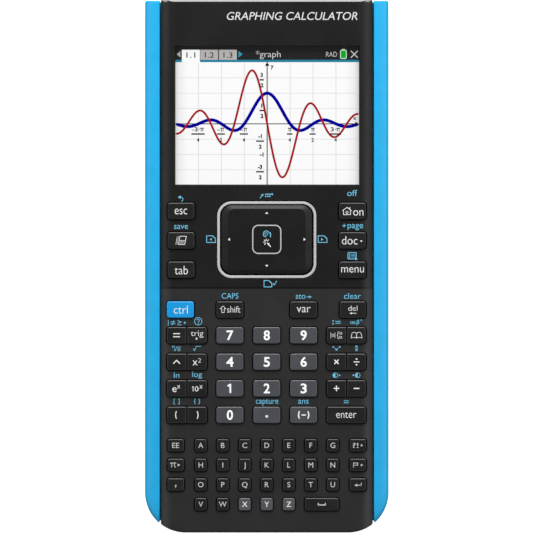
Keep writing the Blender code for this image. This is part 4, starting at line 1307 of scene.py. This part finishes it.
def draw_symbols(name, ink):
    """The legends that aren't plain words."""
    if name == "save":
        notes_icon(ink)
    elif name == "on":
        home_icon(ink, -1.95)
        ink.word("on", 2.05, -0.65, 1.85, 3.6, WORD_PEN)
    elif name == "doc":
        ink.word("doc", -1.0, -0.45, 1.9, 5.5, WORD_PEN).pointer(3.1, -0.35, 0.55, 0.85, 270)
    elif name == "shift":
        shift_icon(ink, -2.45, 0.1)
        ink.word("shift", 1.35, -0.3, 1.45, 4.7, -0.03)
    elif name == "del":
        ink.word("del", 0.0, 0.2, 1.2, 3.25, -0.03)
        ink.stroke([(-0.6, -1.3), (1.2, -1.3)], 0.2).pointer(-0.75, -1.3, 0.75, 0.75, 180)
    elif name == "equals":
        ink.block(0, 0.58, 2.4, 0.34).block(0, -0.5, 2.4, 0.34)
    elif name == "trig":
        ink.word("trig", 0, 0.45, 1.3, 4.4, -0.03).pointer(-0.05, -1.2, 0.75, 0.9, 0)
    elif name == "power":
        ink.stroke([(-1.1, -0.55), (0, 0.55), (1.1, -0.55)], 0.36)
    elif name == "square":
        ink.word("x", -0.7, -0.35, 1.8, 1.8, -0.03).word("2", 0.9, 0.5, 1.5, 1.0, -0.03, CAP_BAND)
    elif name == "exp":
        ink.word("e", -0.75, -0.4, 1.7, 1.5, 0.0)
        superscript_x(ink, 0.75)
    elif name == "ten_power":
        ink.stroke([(-1.75, 0.4), (-1.4, 0.68), (-1.4, -0.95)], 0.24)
        ink.word("0", -0.15, -0.15, 1.8, 1.3, 0.0, CAP_BAND)
        superscript_x(ink, 1.4)
    elif name in ("left_paren", "right_paren"):
        paren(ink, -1 if name == "left_paren" else 1, 0.35, 2.5, 0.32)
    elif name == "template":
        template_icon(ink)
    elif name == "catalog":
        catalog_icon(ink)
    elif name == "multiply":
        ink.stroke([(-0.64, -0.64), (0.64, 0.64)], 0.4).stroke([(-0.64, 0.64), (0.64, -0.64)], 0.4)
    elif name == "divide":
        ink.block(0, 0, 2.05, 0.36).dot(0, 1.0, 0.3).dot(0, -1.0, 0.3)
    elif name == "plus":
        ink.block(0, 0, 1.98, 0.4).block(0, 0, 0.4, 1.98)
    elif name == "minus":
        ink.block(0, 0, 1.98, 0.42)
    elif name == "point":
        ink.dot(0, -0.5, 0.48)
    elif name == "negate":
        for side in (-1, 1):
            paren(ink, side, 1.8, 2.3, 0.48)
        ink.block(0, 0, 1.6, 0.46)
    elif name == "pi":
        ink.stroke([(-1.85, 0.55), (-1.55, 0.72), (0.1, 0.72)], 0.28)
        ink.stroke([(-1.25, 0.7), (-1.45, -0.75)], 0.28)
        ink.stroke([(-0.4, 0.7), (-0.4, -0.55), (-0.1, -0.75)], 0.28).pointer(1.15, 0, 0.9, 1.0, 0)
    elif name == "comma":
        ink.dot(0, -0.35, 0.3).stroke([(0.15, -0.4), (0.1, -0.75), (-0.15, -1.0)], 0.2)
    elif name == "punctuation":
        ink.word("?!", -0.8, 0.0, 1.8, 2.0, 0.04, CAP_BAND).pointer(1.45, 0, 0.8, 0.9, 0)
    elif name == "flag":
        flag_icon(ink, -0.8)
        ink.pointer(1.45, 0, 0.8, 0.9, 0)
    elif name == "return":
        ink.stroke([(1.2, 0.6), (1.2, -0.2), (-0.6, -0.2)], 0.26).pointer(-0.75, -0.2, 0.95, 1.1, 180)
    elif name == "space":
        ink.stroke([(-1.25, 0.35), (-1.25, -0.25), (1.25, -0.25), (1.25, 0.35)], 0.4)


# Key: its word, the place of the middle of its x-height, its x-height and its width
WORDS = {
    "esc": ("esc", -0.05, -0.15, 2.0, 4.4),
    "tab": ("tab", 0.1, -0.6, 1.95, 4.7),
    "menu": ("menu", 0.0, 0.0, 1.85, 8.0),
    "ctrl": ("ctrl", 0.15, -0.45, 1.85, 5.0),
    "var": ("var", 0.0, 0.0, 1.86, 4.9),
    "enter": ("enter", 0.0, -0.15, 1.75, 7.15),
}


def draw_legend(name, ink):
    if name == "1":
        ink.stroke([(-0.62, 0.9), (0.15, 1.4), (0.15, -1.42)], 0.6)
    elif name.isdigit():
        ink.word(name, 0, 0, 3.45, {"7": 2.4, "4": 2.55}.get(name, 2.2), DIGIT_PEN, CAP_BAND)
    elif len(name) == 1 or name == "ee":
        ink.word(name.upper(), 0, 0, 1.85, 2.5 if name == "ee" else None, LETTER_PEN, CAP_BAND)
    elif name in WORDS:
        text, x, y, height, width = WORDS[name]
        ink.word(text, x, y, height, width, WORD_PEN)
    else:
        draw_symbols(name, ink)


def build_legends(caps):
    slots = {entry["node"]: entry["material_slot"] for entry in frame["record"]["subparts"]}
    for name, cap in caps.items():
        ink = Ink(cap.x, cap.y)
        draw_legend(name, ink)
        finish = DIGIT_INK if name.isdigit() else LEGEND_INK
        if cap.node.startswith("letter") and name not in "xyz":
            finish = LETTER_INK
        layer = printed_layer(f"legend_{name}", [ink], level(cap.top), finish)
        piece(layer, cap.node, slots[cap.node])


def page_icon(ink, x, y, width, height):
    """A page with its top right corner folded."""
    right, top = width / 2, height / 2
    outline = [(-right, -top), (right, -top), (right, top - 0.95), (right - 1.0, top), (-right, top)]
    ink.stroke([(x + dx, y + dy) for dx, dy in outline], 0.26, closed=True)
    ink.stroke([(x + right - 0.95, y + top - 0.1), (x + right - 0.1, y + top - 0.9)], 0.34)


def label_symbols(above):
    """The blue labels that aren't plain words. above() gives an Ink at a height over a key."""
    undo = above("esc", 4.45).stroke(arc_points(-0.1, -0.3, 0.78, -70, 95, 12), 0.24)
    undo.pointer(-0.65, 0.45, 1.05, 1.25, 180)
    menu = above("menu", 4.85).frame(-0.15, 0.1, 2.9, 2.25, 0.26)
    for step in range(3):
        menu.block(0.2, 0.65 - 0.5 * step, 1.6, 0.16)
    menu.block(-1.0, 0.1, 0.22, 1.6).pointer(1.15, -0.75, 1.2, 0.9, 115)

    symbols = above("equals", 4.45, 0.15)
    symbols.stroke([(-3.1, -1.0), (-3.1, 1.0)], 0.2).pointer(2.85, 0, 0.75, 0.9, 0)
    symbols.stroke([(-2.2, 0.3), (-0.7, 0.3)], 0.22).stroke([(-2.2, -0.35), (-0.7, -0.35)], 0.22)
    symbols.stroke([(-1.1, 0.85), (-1.8, -0.9)], 0.18)
    symbols.stroke([(0.2, 0.8), (1.5, 0.3), (0.2, -0.2)], 0.22).stroke([(0.2, -0.75), (1.5, -0.75)], 0.22)
    help_sign = above("trig", 4.95, 0.4).stroke(circle(1.3, 0, 0, 24), 0.22, closed=True)
    help_sign.stroke([*arc_points(0, 0.28, 0.4, 165, -40, 8), (0.0, -0.35)], 0.2).dot(0, -0.72, 0.14)
    assign = above("template", 4.6).dot(-1.2, 0.5, 0.26).dot(-1.2, -0.5, 0.26)
    assign.block(0.55, 0.33, 1.9, 0.24).block(0.55, -0.33, 1.9, 0.24)
    greek = above("catalog", 4.6).stroke(arc_points(-1.75, -0.1, 0.4, 40, 320, 12), 0.2)
    greek.stroke(arc_points(-0.85, -0.1, 0.4, -140, 140, 12), 0.2)
    greek.stroke([(-1.45, 0.15), (-1.15, -0.35)], 0.2).stroke([(-1.45, -0.35), (-1.15, 0.15)], 0.2)
    beta = [(0.05, -1.0), (0.25, 0.65), (0.6, 0.85), (0.85, 0.6), (0.5, 0.2), (0.9, -0.1), (0.65, -0.5)]
    greek.stroke([*beta, (0.2, -0.45)], 0.2)
    greek.stroke(circle(0.3, 1.7, 0.75, 12), 0.16, closed=True)
    root = above("power", 4.65).word("n", -1.1, 0.65, 0.8, 0.85, 0.02)
    root.stroke([(-0.85, -0.2), (-0.55, -0.75), (0.0, 0.6), (1.5, 0.6)], 0.2)
    root.frame(0.8, -0.35, 0.7, 0.8, 0.18)
    above("square", 4.75).stroke([(-1.35, -0.15), (-0.9, -0.8), (-0.3, 0.75), (1.3, 0.75)], 0.22)
    nodes = above("multiply", 4.85).stroke([(-1.15, 0.4), (0.0, -0.45), (1.15, 0.4)], 0.14)
    nodes.block(-1.15, 0.45, 0.55, 0.5).block(1.15, 0.45, 0.55, 0.5).block(0, -0.5, 0.7, 0.6)
    above("divide", 4.85).block(0, 0.65, 0.7, 0.6).block(0, 0, 1.1, 0.2).block(0, -0.7, 0.7, 0.6)
    for name, side in (("plus", 1), ("minus", -1)):
        contrast = above(name, 4.65).stroke(circle(0.85, -0.4 * side, 0, 24), 0.2, closed=True)
        contrast.shape(arc_points(-0.4 * side, 0, 0.85, 90, 270, 12))
        contrast.pointer(1.2 * side, 0, 0.7, 0.8, 0 if side > 0 else 180)
    brackets, braces = above("left_paren", 4.75), above("right_paren", 4.75)
    for side in (-1, 1):
        brackets.stroke([(side * 0.6, 0.9), (side * 0.95, 0.9), (side * 0.95, -0.9), (side * 0.6, -0.9)], 0.2)
        curl = [(0.55, 0.9), (0.8, 0.75), (0.8, 0.2), (1.05, 0.0), (0.8, -0.2), (0.8, -0.75), (0.55, -0.9)]
        braces.stroke([(side * x, y) for x, y in curl], 0.2)
    about = above("enter", 4.65)
    for y in (-0.35, 0.35):
        about.stroke([(-0.8, y - 0.12), (-0.4, y + 0.14), (0.1, y), (0.4, y - 0.14), (0.8, y + 0.12)], 0.22)


def touchpad_symbols():
    """The blue signs round the touchpad."""
    low, high = box_mm("touchpad_ring")
    middle = (low + high) / 2
    signs = []
    for side in (-1, 1):
        page = Ink(middle.x + side * 19.75, middle.y + 0.1)
        page_icon(page, 0, 0, 3.1, 2.35)
        signs.append(page.pointer(-0.1, -0.1, 0.75, 1.0, 180 if side < 0 else 0))
    lift = Ink(middle.x, high.y + 1.7).stroke([(-2.35, -0.75), (-1.6, 0.3)], 0.24)
    lift.pointer(-1.45, 0.45, 0.85, 0.9, 55)
    for row in (0.6, -0.15):
        for column in range(3):
            lift.block(-0.35 + 0.72 * column, row, 0.5, 0.42)
    signs.append(lift.block(1.6, 0.6, 0.9, 0.2).pointer(2.1, 0.6, 0.7, 0.85, 0))
    page = Ink(middle.x + 0.4, low.y - 2.0)
    page_icon(page, 0, 0, 2.75, 2.25)
    signs.append(page.stroke([(1.85, 0.05), (2.2, -0.45), (3.1, 0.9)], 0.28))
    return signs


# Key: its label, the place of the middle of its x-height or capital height, that height and its width
LABELS = {
    "save": ("save", 0.0, 4.75, 1.4, 5.0),
    "on": ("off", -0.1, 6.05, 1.4, 3.6),
    "doc": ("page", 1.0, 5.05, 1.45, 5.5),
    "shift": ("CAPS", 0.05, 4.85, 1.9, 5.9),
    "var": ("sto", -1.05, 4.5, 1.35, 3.4),
    "del": ("clear", -0.1, 4.5, 1.35, 5.95),
    "exp": ("ln", 0.0, 4.4, 1.3, 1.95),
    "ten_power": ("log", 0.0, 4.7, 1.3, 3.5),
    "point": ("capture", 0.1, 4.67, 1.4, 7.95),
    "negate": ("ans", -0.1, 4.67, 1.4, 3.7),
}


def build_labels(caps):
    """The blue labels printed on the face above the keys, and the title."""
    labels = touchpad_symbols()

    def above(name, rise, shift=0.0):
        labels.append(Ink(caps[name].x + shift, caps[name].y + rise))
        return labels[-1]

    for name, (text, shift, rise, height, width) in LABELS.items():
        band = CAP_BAND if text.isupper() else X_BAND
        label = above(name, rise, shift).word(text, 0, 0, height, width, LABEL_PEN, band)
        if name == "doc":
            label.block(-3.95, 0.15, 1.3, 0.26).block(-3.95, 0.15, 0.26, 1.3)
    above("var", 4.5).block(1.7, 0.0, 1.3, 0.26).pointer(2.4, 0.0, 0.8, 1.0, 0)
    label_symbols(above)
    piece(printed_layer("face_labels", labels, face_height, LABEL_INK), "root", "face_plastic")

    width, right_end = 46.5, 32.4
    title = Ink(right_end - width / 2, 88.6)
    title.word("GRAPHING CALCULATOR", 0, 0, 2.75, width, 0.0, CAP_BAND, 0.2)
    piece(printed_layer("face_title", [title], face_height, TITLE_INK), "root", "face_plastic")


# ---------------------------------------------------------------- small parts
def build_battery_cover():
    low, high = box_mm("battery_cover")
    size, centre = footprint("battery_cover")
    rings = eased_rings(size.x, size.y, 2.3, centre, reversed(quarter_round(0.25, 4)), low.z)
    rings.append(at_height(rounded_rectangle(size.x, size.y, 2.3, 8, centre), high.z))
    cover = mesh_object("battery_door", *rings_to_mesh(rings), BACK_PLASTIC, 0)
    screw_axis = axis_of("battery_cover_screw")
    well = turned(((3.0, -1.0), (3.0, low.z - 0.01), (2.4, low.z + 0.35), (2.4, low.z + 0.9)), *screw_axis)
    hole = turned(((1.4, low.z - 1), (1.4, high.z + 1)), *screw_axis)
    grips = []
    for step in range(5):
        y = centre[1] + 19.0 + 1.7 * step
        grips.append(prism(rounded_rectangle(20.0 - 1.6 * step, 0.8, 0.39, 4, (0, y)), -1.0, low.z + 0.3))
    cut(cover, "DIFFERENCE", [well, *grips])
    cut(cover, "DIFFERENCE", [hole])
    soften(cover)
    piece(cover, "root", "back_plastic", "battery_cover")


def build_screw(node):
    """A cross-recess pan head with its shank."""
    low, high = box_mm(node)
    x, y = axis_of(node)
    radius = (high.x - low.x) / 2
    head, shank = (1.2, 1.1) if radius > 2.1 else (0.55, 0.9)
    profile = [(radius - 0.35, low.z), (radius - 0.12, low.z + 0.08), (radius, low.z + 0.3)]
    profile += [(radius, low.z + head), (shank, low.z + head), (shank, high.z)]
    screw = mesh_object(f"turned_{node}", *turned(profile, x, y), STEEL, 0)
    arm, half = 0.62 * radius, 0.17 * radius
    cross = [(arm, half), (half, half), (half, arm), (-half, arm), (-half, half), (-arm, half)]
    cross += [(-dx, -dy) for dx, dy in cross]
    recess = prism([(x + dx, y + dy) for dx, dy in cross], -1.0, low.z + 0.7 * head)
    cut(screw, "DIFFERENCE", [recess])
    soften(screw)
    piece(screw, "root", "screw_steel", node)


def finish_hidden_nodes():
    """Better materials for the CAD nodes that stay."""
    board = Finish("solder_mask", 0.35).mottle((22, 88, 52), 0.25, 1.5).grain(0.5, 0.02).material
    battery = moulded("battery_sleeve", (58, 60, 64), 0.5, 0.5, 0.02)
    metal = metallic("socket_metal", (176, 178, 182), 0.06, 1.0, (0.25, 0.4, 2.0))
    materials = {
        "main_board": board, "touch_sensor_board": board, "battery_pack": battery,
        "usb_socket": metal, "reset_button": BLACK_KEY,
    }
    for node, material in materials.items():
        mesh = frame["nodes"][node].data
        mesh.materials.clear()
        mesh.materials.append(material)


# ---------------------------------------------------------------- stage
def area_light(name, position, size, power):
    """A soft light that faces the object. Its place and size are in metres."""
    data = bpy.data.lights.new(name, "AREA")
    data.shape = "RECTANGLE"
    data.size, data.size_y = size
    data.energy = power
    light = bpy.data.objects.new(name, data)
    bpy.context.scene.collection.objects.link(light)
    light.location = position
    light.rotation_mode = "QUATERNION"
    light.rotation_quaternion = (-Vector(position)).to_track_quat("-Z", "Y")


def build_stage():
    """A white table, soft lights round it and dim surroundings overhead, so that the face stays dark."""
    reach = 900
    corners = [(-reach, -reach, 0), (reach, -reach, 0), (reach, reach, 0), (-reach, reach, 0)]
    floor = mesh_object("floor", corners, [(0, 1, 2, 3)], None)
    white = Finish("floor_white", 0.9, specular=0.0).glow((255, 255, 255))
    seen = white.nodes.new("ShaderNodeLightPath").outputs["Is Camera Ray"]
    white.link(white.scaled(seen, 0.0, 1.0, 0.0, FLOOR_GLOW), white.shader.inputs["Emission Strength"])
    shade = white.ramp(seen, ((0.0, linear(FLOOR_SHADE)), (1.0, linear((244, 244, 244)))))
    white.link(shade, white.shader.inputs["Base Color"])
    floor.data.materials.append(white.material)
    floor.location.z = -0.02 * MM
    floor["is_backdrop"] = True
    area_light("light_top", (0.0, 0.68, 0.55), (1.1, 0.62), TOP_POWER)
    area_light("light_rim", (0.0, 1.2, 0.32), (1.6, 0.2), RIM_POWER)
    area_light("light_left", (-0.66, 0.05, 0.7), (1.1, 0.25), LEFT_POWER)
    area_light("light_right", (0.62, 0.1, 0.72), (1.1, 0.3), RIGHT_POWER)
    area_light("light_low", (0.0, -0.95, 0.5), (1.2, 0.3), LOW_POWER)
    world = bpy.data.worlds.new("surroundings")
    world.use_nodes = True
    world.node_tree.nodes["Background"].inputs["Color"].default_value = (1.0, 1.0, 1.0, 1.0)
    world.node_tree.nodes["Background"].inputs["Strength"].default_value = WORLD_STRENGTH
    bpy.context.scene.world = world
    bpy.context.scene.view_settings.view_transform = "Standard"


def build_camera():
    """A long lens straight above the face, as in the reference view."""
    data = bpy.data.cameras.new("camera")
    data.lens, data.sensor_width = 600.0, 36.0
    camera = bpy.data.objects.new("camera", data)
    bpy.context.scene.collection.objects.link(camera)
    framed = BODY_LENGTH * MM * VIEW_MARGIN
    distance = framed / 2 / (data.sensor_width / 2 / data.lens)
    camera.location = (VIEW_SHIFT_X, VIEW_SHIFT_Y, FACE_Z * MM + distance)
    data.clip_start, data.clip_end = 0.05, 10.0
    bpy.context.scene.camera = camera


VIEW_MARGIN = 1.00056  # the length that the camera sees, in body lengths
VIEW_SHIFT_X, VIEW_SHIFT_Y = -0.0001, -0.0001
TOP_POWER, RIM_POWER = 10.5, 0.8
LEFT_POWER, RIGHT_POWER, LOW_POWER = 2.6, 3.4, 0.8
WORLD_STRENGTH = 0.08
FLOOR_GLOW = 0.8  # for the camera, so that the table is white; what it throws on the object is dimmer
FLOOR_SHADE = (150, 150, 150)

# ---------------------------------------------------------------- finishes that several pieces share
BACK_PLASTIC = moulded("back_plastic", (38, 38, 40), 0.55, 0.35, 0.03)
BLACK_KEY = moulded("black_key_plastic", (25, 25, 25), 0.3, 0.15, 0.005, 0.05, 0.6)
GREY_KEY = moulded("grey_key_plastic", (70, 71, 76), 0.3, 0.15, 0.005, 0.03, 0.6)
LETTER_GREY = moulded("grey_letter_plastic", (79, 79, 83), 0.32, 0.15, 0.005, 0.03, 0.6)
CTRL_BLUE = moulded("blue_key_plastic", (14, 146, 212), 0.3, 0.15, 0.005, 0.03, 0.6)
RAIL_BLUE = moulded("blue_rail_plastic", (33, 164, 218), 0.36, 0.3, 0.004, 0.015, 0.25)
PAD_PLASTIC = moulded("touchpad_plastic", (26, 26, 26), 0.28, 0.12, 0.003, 0.04, 0.3)
SILVER = moulded("silver_paint", (180, 180, 182), 0.35, 0.1, 0.004, 0.02, 0.5)
MEMBRANE = moulded("membrane_rubber", (30, 30, 31), 0.8, 0.5, 0.02, 0.08, 0.2)
STEEL = metallic("screw_steel", (120, 121, 124), 0.1, 0.8, (0.28, 0.45, 1.0))
LEGEND_INK = printed("legend_ink", LEGEND_WHITE)
DIGIT_INK = printed("digit_ink", (246, 246, 247))
LETTER_INK = printed("letter_ink", (184, 184, 185))
LABEL_INK = printed("label_ink", LABEL_BLUE)
TITLE_INK = printed("title_ink", (206, 207, 208))


def main():
    build_camera()
    build_stage()
    caps = find_caps()
    build_front_case(caps)
    build_rear_case()
    build_feet()
    build_rail("rail_left", -1)
    build_rail("rail_right", 1)
    build_keys(caps)
    build_membrane(caps)
    build_touchpad_ring()
    build_touchpad_plate()
    build_select_button()
    build_display()
    build_legends(caps)
    build_labels(caps)
    build_battery_cover()
    for node in ("case_screw_left", "case_screw_right", "battery_cover_screw"):
        build_screw(node)
    finish_hidden_nodes()


main()
[[list(corner) for corner in box] for box in (CAD_BOX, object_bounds())]
